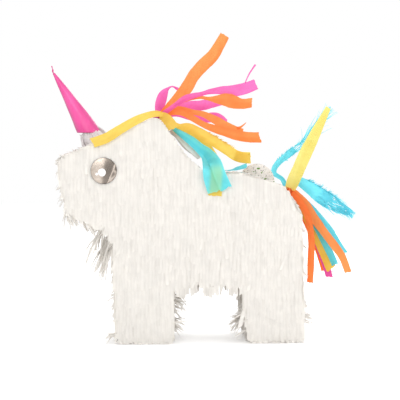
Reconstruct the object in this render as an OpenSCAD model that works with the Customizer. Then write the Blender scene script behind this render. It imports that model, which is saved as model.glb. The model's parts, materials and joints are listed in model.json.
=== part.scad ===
// Unicorn pinata: a hollow die-cut cardboard body covered with cut tissue fringe, with a rolled
// paper horn, foil eyes, a mane and tail of tissue streamers, a filling flap and a ribbon loop.
// The nose points along -X, +Z is up and the soles of the feet stand on Z = 0.
// The unicorn's left side faces -Y. Lengths are in millimetres.

/* [Body] */
// Depth of the cardboard body over its two side panels
body_depth = 90; // [84:1:92]
// Thickness of the cardboard
card_t = 2.5; // [2:0.5:3]
// Thickness of the tissue fringe over the cardboard
tissue_t = 3; // [2.5:0.5:3]

/* [Fringe] */
// Height of one row of fringe
row_h = 21; // [20:1:24]
// Height of the thick, overlapped lower part of a row
row_lap = 12; // [8:1:16]
// Length of the strands that hang free below the belly
belly_drop = 17; // [10:1:17]
// Width of one cut strand
strand_w = 6; // [4:1:6]

/* [Face] */
// Radius of the foil eye
eye_r = 17; // [12:1:18]
// Radius of the large white dot on the eye
dot_r = 5; // [3:0.5:6]
// Length of the horn
horn_len = 101; // [80:1:101]
// Radius of the horn at its open base
horn_r = 13.6; // [10:0.1:14]

/* [Flap] */
// Radius of the half-round filling flap
flap_r = 24; // [20:1:24]
// Thickness of the flap
flap_t = 1.5; // [1:0.5:1.5]

/* [Ribbon loop] */
// Length of the flattened loop
loop_len = 54; // [40:1:54]
// Width of the ribbon that the loop is made of
loop_ribbon_w = 7; // [5:1:7]

/* [Streamers] */
// Thickness of a streamer
streamer_t = 0.6; // [0.4:0.1:0.6]

/* [Hidden] */

card_colour = [0.72, 0.56, 0.38];
tissue_colour = [0.97, 0.95, 0.92];
yellow = [0.96, 0.82, 0.28];
turquoise = [0.30, 0.81, 0.87];
pink = [0.90, 0.38, 0.67];
orange = [0.98, 0.49, 0.19];
foil_colour = [0.62, 0.58, 0.52];
ribbon_colour = [0.90, 0.89, 0.86];

half_depth = body_depth / 2;
skin_y = half_depth + tissue_t;
body_reach = 250; // no part of the body is further than this from X = 0
arc_steps = 6; // straight steps in each rounded corner of the outline
smooth = 64; // facets of a full circle
past = 1; // how far a cutting shape runs past what it cuts

// Places in the list of corners below at which one piece of the body ends and the next begins
CROWN = 0;
CHIN = 3;
FRONT_TOE = 5;
FRONT_HEEL = 6;
BELLY_FRONT = 7;
BELLY_REAR = 8;
REAR_TOE = 9;
REAR_HEEL = 10;
RUMP = 11;
TAIL_HEAD = 12;
BACK = 13;
WITHERS = 14;
// Corners of the tissue-covered outline as [x, z, rounding radius], from the crown round the
// nose, the front foot, the belly, the rear foot, the rump and the back.
corners = [
  [-63.5, 298, 12], [-191, 243, 12], [-191.5, 222, 10], [-180, 171, 8],
  [-124, 148, 30], [-117, 0, 7], [-43, 0, 7], [-40, 78, 8],
  [45, 79, 8], [56.5, 0, 7], [129, 0, 7], [125, 170, 30],
  [103, 206, 12], [47, 223.5, 8], [3, 219.5, 25], [-27, 247, 40]
];

function unit(v) = v / norm(v);
function flat2(p) = [p[0], p[1]];
function lerp(a, b, t) = a + (b - a) * t;
function wrap_deg(a) = a > 180 ? a - 360 : a < -180 ? a + 360 : a;

// Points of the rounding at corner b between its neighbours a and c
function corner_arc(a, b, c, r) =
  let(u = unit(a - b), v = unit(c - b), half = acos(u * v) / 2,
      centre = b + unit(u + v) * r / sin(half),
      p0 = b + u * r / tan(half) - centre, p1 = b + v * r / tan(half) - centre,
      a0 = atan2(p0[1], p0[0]), turn = wrap_deg(atan2(p1[1], p1[0]) - a0))
  [for (i = [0:arc_steps]) centre + r * [cos(a0 + turn * i / arc_steps), sin(a0 + turn * i / arc_steps)]];

// The whole outline: arc_steps + 1 points for each corner
outline = [
  for (i = [0:len(corners) - 1])
    let(a = corners[(i + len(corners) - 1) % len(corners)], b = corners[i],
        c = corners[(i + 1) % len(corners)])
      each corner_arc(flat2(a), flat2(b), flat2(c), b[2])
];

// A closed line moved inwards by d; the inside lies to the left of the direction of travel
function moved_in(pts, d) = [
  for (i = [0:len(pts) - 1])
    let(n = len(pts), e0 = unit(pts[i] - pts[(i + n - 1) % n]), e1 = unit(pts[(i + 1) % n] - pts[i]),
        n0 = [-e0[1], e0[0]], n1 = [-e1[1], e1[0]], m = unit(n0 + n1))
      pts[i] + m * d / (m * n0)
];
card_outline = moved_in(outline, tissue_t);
inner_outline = moved_in(outline, tissue_t + card_t);

// Index of the middle of a corner's rounding
function mid_index(corner) = corner * (arc_steps + 1) + arc_steps / 2;

// Ring segment between two closed lines, from the middle of one corner to the middle of another
function segment(outer, inner, from, to) =
  let(n = len(outer), i0 = mid_index(from), i1 = to > from ? mid_index(to) : mid_index(to) + n)
  concat([for (i = [i0:i1]) outer[i % n]], [for (i = [i1:-1:i0]) inner[i % n]]);

// Filling flap: hinge along the middle of the sloping flat of the back, off centre in Y
back_slope = atan2(corners[BACK][1] - corners[TAIL_HEAD][1], corners[TAIL_HEAD][0] - corners[BACK][0]);
back_normal = [sin(back_slope), cos(back_slope)];
flap_share = 0.475; // where the flap's middle lies on the flat, from the back to the tail head
flap_mid = lerp(flat2(corners[BACK]), flat2(corners[TAIL_HEAD]), flap_share) - tissue_t * back_normal;
flap_hinge_y = 12;
flap_gap = 0.5;
tissue_hole_gap = 2;

// Horn: its base centre on the collar, and its lean from upright towards the nose
horn_base = [-152.5, 276.3];
horn_lean = 31.4;
horn_wall = 0.8;
horn_tip_r = 1.2;
horn_hollow = 0.9; // share of the horn's length that is hollow
collar_depth = 26;
collar_r = 17;

eye_at = [-132.7, 226.5];
eye_t = 1;
dot_at = [-135, 224.5];
small_dot_at = [-141.8, 222.3];
small_dot_r = 1.6;
dot_t = 0.4;

// Ribbon loop: hinge point at the top of the neck and slope of the flattened loop
loop_at = [-46, 280.5];
loop_slope = 43.4;
loop_half_w = 6.5;
loop_start = 1; // the loop's front end lies this far behind the hinge
ribbon_t = 0.8;

// Glued bunch of streamer ends behind the crown: its rear edge, top, length in X and height
mane_bunch_x = -53;
mane_bunch_top = 300.5;
mane_bunch_l = 11;
mane_bunch_h = 16;
mane_bunch_y = [-45, 30];
// Glued bunch at the head of the tail: distance down the rump, half lengths at foot and top, height
tail_bunch_at = 13;
tail_bunch_foot = 7;
tail_bunch_crest = 5;
tail_bunch_h = 6;
tail_bunch_y = [-28, 32];

// Streamer routes, root first: [x, y, z, width, turn of the flat face about the route]
yellow_forelock_route = [
  [-56, -43, 299, 6, 0], [-64, -44.5, 300.5, 8, 0], [-76, -46.5, 298, 9, 0], [-92, -49, 291, 11, 0],
  [-112, -49, 279.5, 12, 0], [-129, -49, 269, 13, 0], [-147, -49, 262.5, 13, 0]
];
yellow_short_route = [
  [-58, -41.5, 299, 10, 0], [-50, -41.5, 292.5, 14, 0], [-42, -41.5, 281.5, 14, 0]
];
yellow_long_route = [
  [-54, -18.5, 300, 6, 40], [-46, -18.5, 292, 6, 30], [-35, -18.5, 284.8, 7, 0],
  [-22, -18.5, 283, 12, 0], [-8, -18.5, 276, 14, 0], [12, -19, 264.5, 14, 10], [29, -20, 253.7, 14, 10],
  [44, -21, 244.6, 14, 0], [60, -22, 242, 13, -15]
];
yellow_under_route = [
  [-54, -11, 299, 6, 20], [-45, -11, 288, 7, 10], [-36, -11, 279, 9, 0], [-22, -11, 273, 12, 0],
  [-6, -11, 266, 14, 0], [3, -11, 256, 14, 0], [9, -13, 245, 15, 0], [12, -28, 236, 16, 0],
  [13, -45, 228, 17, 0], [13, -48.8, 218, 18, 0], [12, -48.8, 206, 18, 0], [11, -48.8, 194, 18, 0]
];
turquoise_front_route = [
  [-55, -13.5, 298, 4, 0], [-47, -13.5, 287, 4, 0], [-38, -13.5, 278.5, 5, 0], [-27, -13.5, 271, 8, 0],
  [-17.5, -13.5, 264, 10, 0], [-8, -13.5, 255.5, 11, 0], [0.5, -15, 246, 12, 0], [3, -29, 239, 14, 0],
  [3.5, -46.5, 231, 16, 0], [5, -50, 217, 17, 0], [11, -50, 199, 18, 0]
];
turquoise_rear_route = [
  [-53, -16, 299, 4, 0], [-45, -16, 288.5, 4, 0], [-36.5, -16, 279.5, 5, 0], [-25.5, -16, 272, 8, 0],
  [-16, -16, 265.5, 10, 0], [-6, -16, 257, 11, 0], [3.5, -17.5, 250, 13, 0], [8.5, -30, 243.5, 15, 0],
  [12.5, -48.4, 235.5, 16, 0], [18, -51.2, 220, 16, 0], [25.5, -51.2, 203.5, 16, 0]
];
pink_loop_route = [
  [-58, 22, 301, 11, 0], [-59, 22, 311, 13, 0], [-56.6, 22, 321.5, 14, 5], [-53.1, 22.5, 330, 12, 25],
  [-48.5, 23.5, 336, 8, 50], [-41.5, 24.5, 339, 6, 60], [-32.6, 25.5, 335.1, 6, 35],
  [-25.3, 26, 331.5, 7, 20], [-19, 27, 328.3, 7, 0]
];
pink_thin_route = [
  [-55, -38.5, 301, 6, 0], [-39, -38.5, 312.5, 6, 0], [-26, -38.5, 321, 8, 0],
  [-8, -38.5, 326, 6.5, 20], [7.5, -35, 330, 7.5, 15], [22, -32, 331.5, 11, 10],
  [36.5, -31, 331, 15, 0], [53, -30, 334.5, 15, 0], [67, -29, 340, 14, 0]
];
pink_wide_route = [
  [-53, 16, 300, 6, 0], [-41, 16, 307, 7, 0], [-21.5, 16.5, 314, 10, 0], [-4.6, 17.5, 313.4, 14, 10],
  [12.4, 18.5, 317.6, 14, 0], [27, 19.5, 322, 14, 0], [38, 20, 325, 11, 0]
];
pink_short_route = [
  [-52, 20, 299, 6, 0], [-36, 20, 303, 9, 0], [-17, 21, 299.5, 12, 0], [1, 22, 297, 13, 10],
  [18.7, 23, 297.5, 13, 0], [32.3, 24, 290.5, 7, 0]
];
orange_tall_route = [
  [-56, 12, 301, 9, 0], [-46.5, 12, 311.3, 11, 0], [-34.5, 12, 322.8, 15, 0],
  [-22.5, 12.5, 337.4, 17, 10], [-13.2, 13, 353.5, 17, 15], [-0.7, 14, 367.6, 17, 0],
  [12.9, 15, 380.6, 17, -15], [21.2, 16, 394.1, 15, -10], [29, 17, 408.2, 13, 0]
];
orange_upper_route = [
  [-57, -35, 301, 5, 0], [-42, -35, 311, 4, 0], [-25, -35, 318.5, 4, 0], [-8, -35, 322, 4, 0],
  [3.5, -35, 320.5, 5, 0], [13.5, -36, 319.5, 10, 0], [26.5, -37, 319, 17, 0], [38, -37, 316, 18, 15],
  [48.5, -36, 314, 15, 25], [61, -35, 315.5, 12, 0]
];
orange_middle_route = [
  [-56, -28.5, 300, 10, 0], [-47, -28.5, 303, 9, 0], [-31.3, -28.5, 302.5, 8, 0],
  [-16.1, -29, 294.8, 8.5, 0], [-2, -29.5, 286.6, 8, 0], [14, -30, 280.6, 10.5, 5],
  [25.9, -31, 277.3, 12, 5], [41.6, -31.5, 272.8, 13.5, 0], [56.8, -32, 270.2, 13.5, -10],
  [71.5, -33, 270, 14, 0]
];
orange_lower_route = [
  [-55, -21, 301, 8, 0], [-43, -21, 307, 8, 0], [-31.1, -21, 306.9, 8, 0], [-15.9, -22, 303.3, 7, 0],
  [-1.7, -22.5, 300.3, 8, 0], [14.4, -23, 292.4, 11, 0], [26.3, -24, 285.6, 11.5, 0],
  [40, -24.5, 280.5, 9, 0], [50.2, -25, 278.4, 6, 0]
];
back_turquoise_route = [
  [15, -26, 225.4, 12, 90], [24, -26, 226.3, 13, 90], [37, -26, 227, 13, 80], [46, -26, 229.5, 12, 70],
  [55, -26, 233, 10, 60]
];
turquoise_curl_route = [
  [113, 25, 204, 7, 0], [108.5, 25, 213.5, 6, 0], [102, 25, 218, 6, 0], [97, 25, 222, 7, 0],
  [98.5, 25, 230, 8, 20], [107, 26, 239.5, 9, 30], [121, 27, 250.5, 9, 10], [137, 28, 262.5, 9, 0],
  [152, 29, 281, 9, 0], [166, 30, 299, 8, 0], [176, 30, 312, 6, 0]
];
yellow_upright_route = [
  [113, -20, 201, 14, 0], [117, -20, 211, 17, 0], [123, -20.5, 224.5, 17, 0],
  [134.8, -21, 251.2, 17, 5], [142, -22, 266, 15.5, 0], [149.2, -23, 281, 13, 0],
  [163.5, -24, 309.5, 7, 0]
];
turquoise_feather_route = [
  [114, 8, 202, 9, 0], [125, 8, 212, 11, 0], [141.5, 8.5, 204, 16, 0], [161, 9, 190, 21, 10],
  [180.5, 10, 178, 18, 0], [196, 11, 169.5, 10, 0], [205, 11.5, 164, 5, 0]
];
orange_long_route = [
  [114.5, -16, 199.5, 9, 0], [120, -16, 194.5, 12, 0], [134.5, -16, 180, 13, 0],
  [144.5, -16.5, 165, 12, 0], [159.6, -17, 144, 11, 10], [173, -18, 126.3, 11, 0],
  [184, -18.5, 110.7, 10, 0], [192, -19, 90, 9, 0]
];
turquoise_outer_route = [
  [115.5, -4, 199, 7, 0], [128, -4, 190, 9, 0], [148, -4, 171, 9, 0], [169, -4.5, 146, 9, 0],
  [181.6, -5, 126, 9, 0], [190, -5, 114, 8, 0]
];
turquoise_low_route = [
  [115, -12, 198.5, 7, 0], [128, -12, 184, 9, 0], [139, -12, 169, 9, 0], [148, -12, 154.7, 9, 0],
  [160.3, -12.5, 131.4, 9.5, 10], [169.2, -13, 113.7, 9.5, 0], [175.4, -13, 99.4, 9, 0]
];
yellow_inner_route = [
  [115.5, -8, 198, 7, 0], [128, -8, 181, 9, 0], [140, -8, 158, 10, 0], [151, -8.5, 137.8, 12, 0],
  [161, -9, 115.6, 13, 0], [171, -9.5, 94, 14, 0]
];
pink_inner_route = [
  [115.5, 1, 198, 7, 0], [130, 1, 177, 9, 0], [146, 1, 148.4, 10, 0], [156.7, 1.5, 121.5, 10, 0],
  [165.8, 2, 96.8, 10, 0], [170, 3, 81.5, 9, 0]
];
orange_red_route = [
  [115.5, 14, 198, 7, 0], [131, 15, 176, 9, 0], [143, 15.5, 152, 10, 0], [152.1, 16, 131.5, 10, 0],
  [160.1, 16.5, 108.9, 9, 0], [165.6, 17, 88.6, 8, 0]
];
orange_rump_route = [
  [115.5, -24, 197.5, 7, 0], [127, -24, 184, 9, 0], [137, -24, 163, 9, 0], [141.5, -24, 134, 9, 0],
  [141, -24, 105, 9, 0], [140, -24, 77, 8, 0]
];

// Rings along a route: a smooth curve through its points, three rings to each stretch
ring_steps = 3;
function curve_point(p0, p1, p2, p3, t) =
  0.5 * (2 * p1 + (p2 - p0) * t + (2 * p0 - 5 * p1 + 4 * p2 - p3) * t * t
         + (3 * p1 - p0 - 3 * p2 + p3) * t * t * t);
function along(route) = [
  for (i = [0:len(route) - 2]) for (s = [0:ring_steps - 1])
    let(last = len(route) - 1)
      curve_point(route[max(i - 1, 0)], route[i], route[i + 1], route[min(i + 2, last)], s / ring_steps),
  route[len(route) - 1]
];
function place(p) = [p[0], p[1], p[2]];
function ring(p, tangent) =
  let(flat_side = unit(cross(tangent, [0, 1, 0])), up = cross(flat_side, tangent),
      side = flat_side * cos(p[4]) + up * sin(p[4]), face = cross(side, tangent),
      w = side * p[3] / 2, t = face * streamer_t / 2)
  [place(p) - w - t, place(p) + w - t, place(p) + w + t, place(p) - w + t];
function rings(pts) = [
  for (i = [0:len(pts) - 1])
    each ring(pts[i], unit(place(pts[min(i + 1, len(pts) - 1)]) - place(pts[max(i - 1, 0)])))
];

// A thin closed ribbon along a route
module streamer(route, tone) {
  pts = along(route);
  last = 4 * (len(pts) - 1);
  walls = [
    for (i = [0:len(pts) - 2]) for (k = [0:3])
      let(a = 4 * i + k, b = 4 * i + (k + 1) % 4)
        each [[a, b, b + 4], [a, b + 4, a + 4]]
  ];
  ends = [[0, 2, 1], [0, 3, 2], [last, last + 1, last + 2], [last, last + 2, last + 3]];
  color(tone) polyhedron(points = rings(pts), faces = concat(walls, ends));
}

// An outline in X and Z, thickened from y0 to y1
module slab(pts, y0, y1) {
  translate([0, y1, 0]) rotate([90, 0, 0]) linear_extrude(y1 - y0) polygon(pts);
}

module at_flap() {
  translate([flap_mid[0], 0, flap_mid[1]]) rotate([0, back_slope, 0]) children();
}

// The half-round filling hole, cut through whatever it is subtracted from
module fill_hole(gap) {
  cut_h = 4 * (tissue_t + card_t);
  at_flap() translate([0, flap_hinge_y, -cut_h / 2]) difference() {
    cylinder(r = flap_r + gap, h = cut_h, $fn = smooth);
    translate([-2 * flap_r, flap_t + gap, -past]) cube([4 * flap_r, 2 * flap_r, cut_h + 2 * past]);
  }
}

module side_panel(side) {
  y0 = side > 0 ? half_depth - card_t : -half_depth;
  color(card_colour) slab(card_outline, y0, y0 + card_t);
}

module band(from, to) {
  color(card_colour)
    slab(segment(card_outline, inner_outline, from, to), card_t - half_depth, half_depth - card_t);
}

module edge_tissue(from, to) {
  color(tissue_colour) slab(segment(outline, card_outline, from, to), -half_depth, half_depth);
}

// Rows of side fringe from row first to row last, thin at the top of a row and thick below
module fringe_rows(side, first, last) {
  thin_t = tissue_t / 2;
  color(tissue_colour) mirror([0, side > 0 ? 1 : 0, 0]) intersection() {
    slab(outline, -skin_y, -half_depth);
    union() for (row = [first:last]) {
      translate([-body_reach, -skin_y, row * row_h]) cube([2 * body_reach, tissue_t, row_lap]);
      translate([-body_reach, -half_depth - thin_t, row * row_h + row_lap / 2])
        cube([2 * body_reach, thin_t, row_h - row_lap / 2]);
    }
  }
}

// Strands that hang below the belly line on one side
module belly_strands(side) {
  gap = 1;
  end_gap = 8;
  overlap = 6;
  pitch = strand_w + gap;
  first = corners[BELLY_FRONT][0] + end_gap;
  span = corners[BELLY_REAR][0] - end_gap - first;
  color(tissue_colour) mirror([0, side > 0 ? 1 : 0, 0])
    for (i = [0:floor(span / pitch)])
      translate([first + i * pitch, -skin_y, corners[BELLY_FRONT][1] - belly_drop])
        cube([strand_w, tissue_t / 2, belly_drop + overlap]);
}

module left_side_panel() { side_panel(-1); }
module right_side_panel() { side_panel(1); }
module head_band() { band(CROWN, CHIN); }
module chest_band() { band(CHIN, FRONT_TOE); }
module front_foot_base() { band(FRONT_TOE, FRONT_HEEL); }
module underside_band() { band(FRONT_HEEL, REAR_TOE); }
module rear_foot_base() { band(REAR_TOE, REAR_HEEL); }
module rump_band() { band(REAR_HEEL, TAIL_HEAD); }
module back_band() {
  difference() {
    band(TAIL_HEAD, WITHERS);
    fill_hole(flap_gap);
  }
}
module neck_band() { band(WITHERS, CROWN); }

module left_head_fringe() { fringe_rows(-1, 10, 14); }
module left_shoulder_fringe() { fringe_rows(-1, 7, 9); }
module left_belly_fringe() { fringe_rows(-1, 4, 6); }
module left_leg_fringe() {
  fringe_rows(-1, 0, 3);
  belly_strands(-1);
}
module right_head_fringe() { fringe_rows(1, 10, 14); }
module right_shoulder_fringe() { fringe_rows(1, 7, 9); }
module right_belly_fringe() { fringe_rows(1, 4, 6); }
module right_leg_fringe() {
  fringe_rows(1, 0, 3);
  belly_strands(1);
}

module head_tissue() { edge_tissue(CROWN, CHIN); }
module chest_tissue() { edge_tissue(CHIN, FRONT_TOE); }
module front_sole_tissue() { edge_tissue(FRONT_TOE, FRONT_HEEL); }
module underside_tissue() { edge_tissue(FRONT_HEEL, REAR_TOE); }
module rear_sole_tissue() { edge_tissue(REAR_TOE, REAR_HEEL); }
module rump_tissue() { edge_tissue(REAR_HEEL, TAIL_HEAD); }
module back_tissue() {
  difference() {
    edge_tissue(TAIL_HEAD, WITHERS);
    fill_hole(tissue_hole_gap);
  }
}
module neck_tissue() { edge_tissue(WITHERS, CROWN); }

module at_horn() {
  translate([horn_base[0], 0, horn_base[1]]) rotate([0, -horn_lean, 0]) children();
}

// Rolled paper cone, open at the base
module horn() {
  color([0.93, 0.30, 0.62]) at_horn() difference() {
    cylinder(r1 = horn_r, r2 = horn_tip_r, h = horn_len, $fn = smooth);
    translate([0, 0, -0.01])
      cylinder(r1 = horn_r - horn_wall, r2 = 0, h = horn_len * horn_hollow, $fn = smooth);
  }
}

// Bunched tissue that fills the wedge between the forehead and the horn
module horn_collar() {
  color([0.86, 0.76, 0.76]) difference() {
    at_horn() translate([0, 0, -collar_depth])
      cylinder(r1 = collar_r, r2 = horn_r + 1, h = collar_depth, $fn = smooth);
    slab(outline, -skin_y, skin_y);
  }
}

module eye(side) {
  color(foil_colour) translate([eye_at[0], side * (skin_y + eye_t / 2), eye_at[1]])
    rotate([90, 0, 0]) cylinder(r = eye_r, h = eye_t, center = true, $fn = smooth);
}
module dot(side, at, r) {
  color("white") translate([at[0], side * (skin_y + eye_t + dot_t / 2), at[1]])
    rotate([90, 0, 0]) cylinder(r = r, h = dot_t, center = true, $fn = smooth);
}
module eye_dots(side) {
  dot(side, dot_at, dot_r);
  dot(side, small_dot_at, small_dot_r);
}
module left_eye() { eye(-1); }
module right_eye() { eye(1); }
module left_eye_dots() { eye_dots(-1); }
module right_eye_dots() { eye_dots(1); }

// The flap stands open on its straight edge
module fill_flap() {
  color([0.80, 0.80, 0.78]) at_flap() translate([0, flap_hinge_y + flap_t, -flap_t])
    rotate([90, 0, 0]) linear_extrude(flap_t) difference() {
      circle(r = flap_r, $fn = smooth);
      translate([-2 * flap_r, -2 * flap_r]) square([4 * flap_r, 2 * flap_r + flap_gap]);
    }
}

// Outline of the flattened ribbon loop: two half rounds joined by straight runs
module stadium(half_w) {
  front = loop_start + loop_half_w;
  bow_to_bow = loop_len - 2 * loop_half_w;
  translate([front, 0]) circle(r = half_w, $fn = smooth);
  translate([front + bow_to_bow, 0]) circle(r = half_w, $fn = smooth);
  translate([front, -half_w]) square([bow_to_bow, 2 * half_w]);
}
// The ribbon loop stands on edge along the neck
module hang_loop() {
  color(ribbon_colour) translate([loop_at[0], 0, loop_at[1]]) rotate([0, loop_slope, 0])
    translate([0, 0, -loop_ribbon_w / 2]) linear_extrude(loop_ribbon_w) difference() {
      stadium(loop_half_w);
      stadium(loop_half_w - ribbon_t);
    }
}

// Glued bunch of streamer ends behind the crown
module mane_root() {
  color(pink) difference() {
    translate([mane_bunch_x - mane_bunch_l, mane_bunch_y[0], mane_bunch_top - mane_bunch_h])
      cube([mane_bunch_l, mane_bunch_y[1] - mane_bunch_y[0], mane_bunch_h]);
    slab(outline, -skin_y, skin_y);
  }
}

// Glued bunch of streamer ends at the head of the tail
module tail_root() {
  edge = unit(flat2(corners[RUMP]) - flat2(corners[TAIL_HEAD]));
  out = [-edge[1], edge[0]];
  base = flat2(corners[TAIL_HEAD]) + edge * tail_bunch_at;
  crest = base + out * tail_bunch_h;
  block = [
    base - edge * tail_bunch_foot, base + edge * tail_bunch_foot,
    crest + edge * tail_bunch_crest, crest - edge * tail_bunch_crest
  ];
  color(orange) slab(block, tail_bunch_y[0], tail_bunch_y[1]);
}

module mane_yellow_forelock() { streamer(yellow_forelock_route, yellow); }
module mane_yellow_short() { streamer(yellow_short_route, yellow); }
module mane_yellow_long() { streamer(yellow_long_route, yellow); }
module mane_yellow_under() { streamer(yellow_under_route, yellow); }
module mane_turquoise_front() { streamer(turquoise_front_route, turquoise); }
module mane_turquoise_rear() { streamer(turquoise_rear_route, turquoise); }
module mane_pink_loop() { streamer(pink_loop_route, pink); }
module mane_pink_thin() { streamer(pink_thin_route, pink); }
module mane_pink_wide() { streamer(pink_wide_route, pink); }
module mane_pink_short() { streamer(pink_short_route, pink); }
module mane_orange_tall() { streamer(orange_tall_route, orange); }
module mane_orange_upper() { streamer(orange_upper_route, orange); }
module mane_orange_middle() { streamer(orange_middle_route, orange); }
module mane_orange_lower() { streamer(orange_lower_route, orange); }
module back_turquoise() { streamer(back_turquoise_route, turquoise); }
module tail_turquoise_curl() { streamer(turquoise_curl_route, turquoise); }
module tail_yellow_upright() { streamer(yellow_upright_route, yellow); }
module tail_turquoise_feather() { streamer(turquoise_feather_route, turquoise); }
module tail_orange_long() { streamer(orange_long_route, orange); }
module tail_turquoise_inner() {
  streamer(turquoise_outer_route, turquoise);
  streamer(turquoise_low_route, turquoise);
}
module tail_yellow_inner() { streamer(yellow_inner_route, yellow); }
module tail_pink_inner() { streamer(pink_inner_route, pink); }
module tail_orange_short() {
  streamer(orange_red_route, orange);
  streamer(orange_rump_route, orange);
}

left_side_panel();
right_side_panel();
head_band();
chest_band();
front_foot_base();
underside_band();
rear_foot_base();
rump_band();
back_band();
neck_band();
left_head_fringe();
left_shoulder_fringe();
left_belly_fringe();
left_leg_fringe();
right_head_fringe();
right_shoulder_fringe();
right_belly_fringe();
right_leg_fringe();
head_tissue();
chest_tissue();
front_sole_tissue();
underside_tissue();
rear_sole_tissue();
rump_tissue();
back_tissue();
neck_tissue();
horn();
horn_collar();
left_eye();
right_eye();
left_eye_dots();
right_eye_dots();
fill_flap();
hang_loop();
mane_root();
tail_root();
mane_yellow_forelock();
mane_yellow_short();
mane_yellow_long();
mane_yellow_under();
mane_turquoise_front();
mane_turquoise_rear();
mane_pink_loop();
mane_pink_thin();
mane_pink_wide();
mane_pink_short();
mane_orange_tall();
mane_orange_upper();
mane_orange_middle();
mane_orange_lower();
back_turquoise();
tail_turquoise_curl();
tail_yellow_upright();
tail_turquoise_feather();
tail_orange_long();
tail_turquoise_inner();
tail_yellow_inner();
tail_pink_inner();
tail_orange_short();
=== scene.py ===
"""Unicorn pinata: the looks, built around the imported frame.

Metres throughout. The nose points along -X, +Z is up, the unicorn's left side faces -Y.
"""
import json
import math

import bpy
import numpy as np
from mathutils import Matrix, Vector


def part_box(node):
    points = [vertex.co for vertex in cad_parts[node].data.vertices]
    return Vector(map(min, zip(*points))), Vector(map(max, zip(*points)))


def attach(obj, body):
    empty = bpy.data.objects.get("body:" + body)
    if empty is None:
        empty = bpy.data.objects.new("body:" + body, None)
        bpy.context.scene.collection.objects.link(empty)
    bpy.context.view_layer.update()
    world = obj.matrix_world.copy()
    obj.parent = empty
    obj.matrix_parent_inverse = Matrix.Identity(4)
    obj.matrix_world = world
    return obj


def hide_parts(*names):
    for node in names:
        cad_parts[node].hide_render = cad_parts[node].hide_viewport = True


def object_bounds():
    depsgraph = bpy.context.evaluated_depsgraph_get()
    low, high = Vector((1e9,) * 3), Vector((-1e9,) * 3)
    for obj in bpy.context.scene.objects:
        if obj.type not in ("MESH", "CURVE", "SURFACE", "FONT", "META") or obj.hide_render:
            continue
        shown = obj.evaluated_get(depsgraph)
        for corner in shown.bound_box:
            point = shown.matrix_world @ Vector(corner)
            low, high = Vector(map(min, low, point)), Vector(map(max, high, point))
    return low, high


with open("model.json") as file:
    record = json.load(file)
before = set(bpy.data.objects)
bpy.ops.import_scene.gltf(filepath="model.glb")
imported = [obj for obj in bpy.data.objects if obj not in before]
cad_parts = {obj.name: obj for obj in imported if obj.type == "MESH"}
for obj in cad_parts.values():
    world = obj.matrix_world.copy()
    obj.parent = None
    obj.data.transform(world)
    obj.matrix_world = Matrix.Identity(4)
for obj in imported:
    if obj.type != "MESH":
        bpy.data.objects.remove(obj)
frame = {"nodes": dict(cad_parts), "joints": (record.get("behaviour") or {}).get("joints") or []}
cad_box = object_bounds()

MM = 0.001
UP = np.array([0.0, 0.0, 1.0])
ACROSS = np.array([0.0, 1.0, 0.0])

# ---------------------------------------------------------------- camera

VIEW_AZIMUTH = math.radians(-3.0)
VIEW_ELEVATION = math.radians(2.5)
VIEW_DISTANCE = 1.5
VIEW_WIDTH = 0.520  # width of the picture at the near face of the body
VIEW_MIDDLE = (-8 * MM, 188.5 * MM)  # x and z in the middle of the picture
SENSOR_WIDTH = 36.0  # millimetres
near_face_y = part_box("left_head_fringe")[0].y


def make_camera():
    target = Vector((VIEW_MIDDLE[0], near_face_y, VIEW_MIDDLE[1]))
    back = Vector((
        math.sin(VIEW_AZIMUTH) * math.cos(VIEW_ELEVATION),
        -math.cos(VIEW_AZIMUTH) * math.cos(VIEW_ELEVATION),
        math.sin(VIEW_ELEVATION),
    ))
    data = bpy.data.cameras.new("camera")
    data.sensor_width = SENSOR_WIDTH
    data.lens = data.sensor_width / 2 / (VIEW_WIDTH / 2 / VIEW_DISTANCE)
    camera = bpy.data.objects.new("camera", data)
    camera.location = target + back * VIEW_DISTANCE
    camera.rotation_mode = "QUATERNION"
    camera.rotation_quaternion = (-back).to_track_quat("-Z", "Y")
    bpy.context.scene.collection.objects.link(camera)
    bpy.context.scene.camera = camera


make_camera()

# ---------------------------------------------------------------- materials


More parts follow.
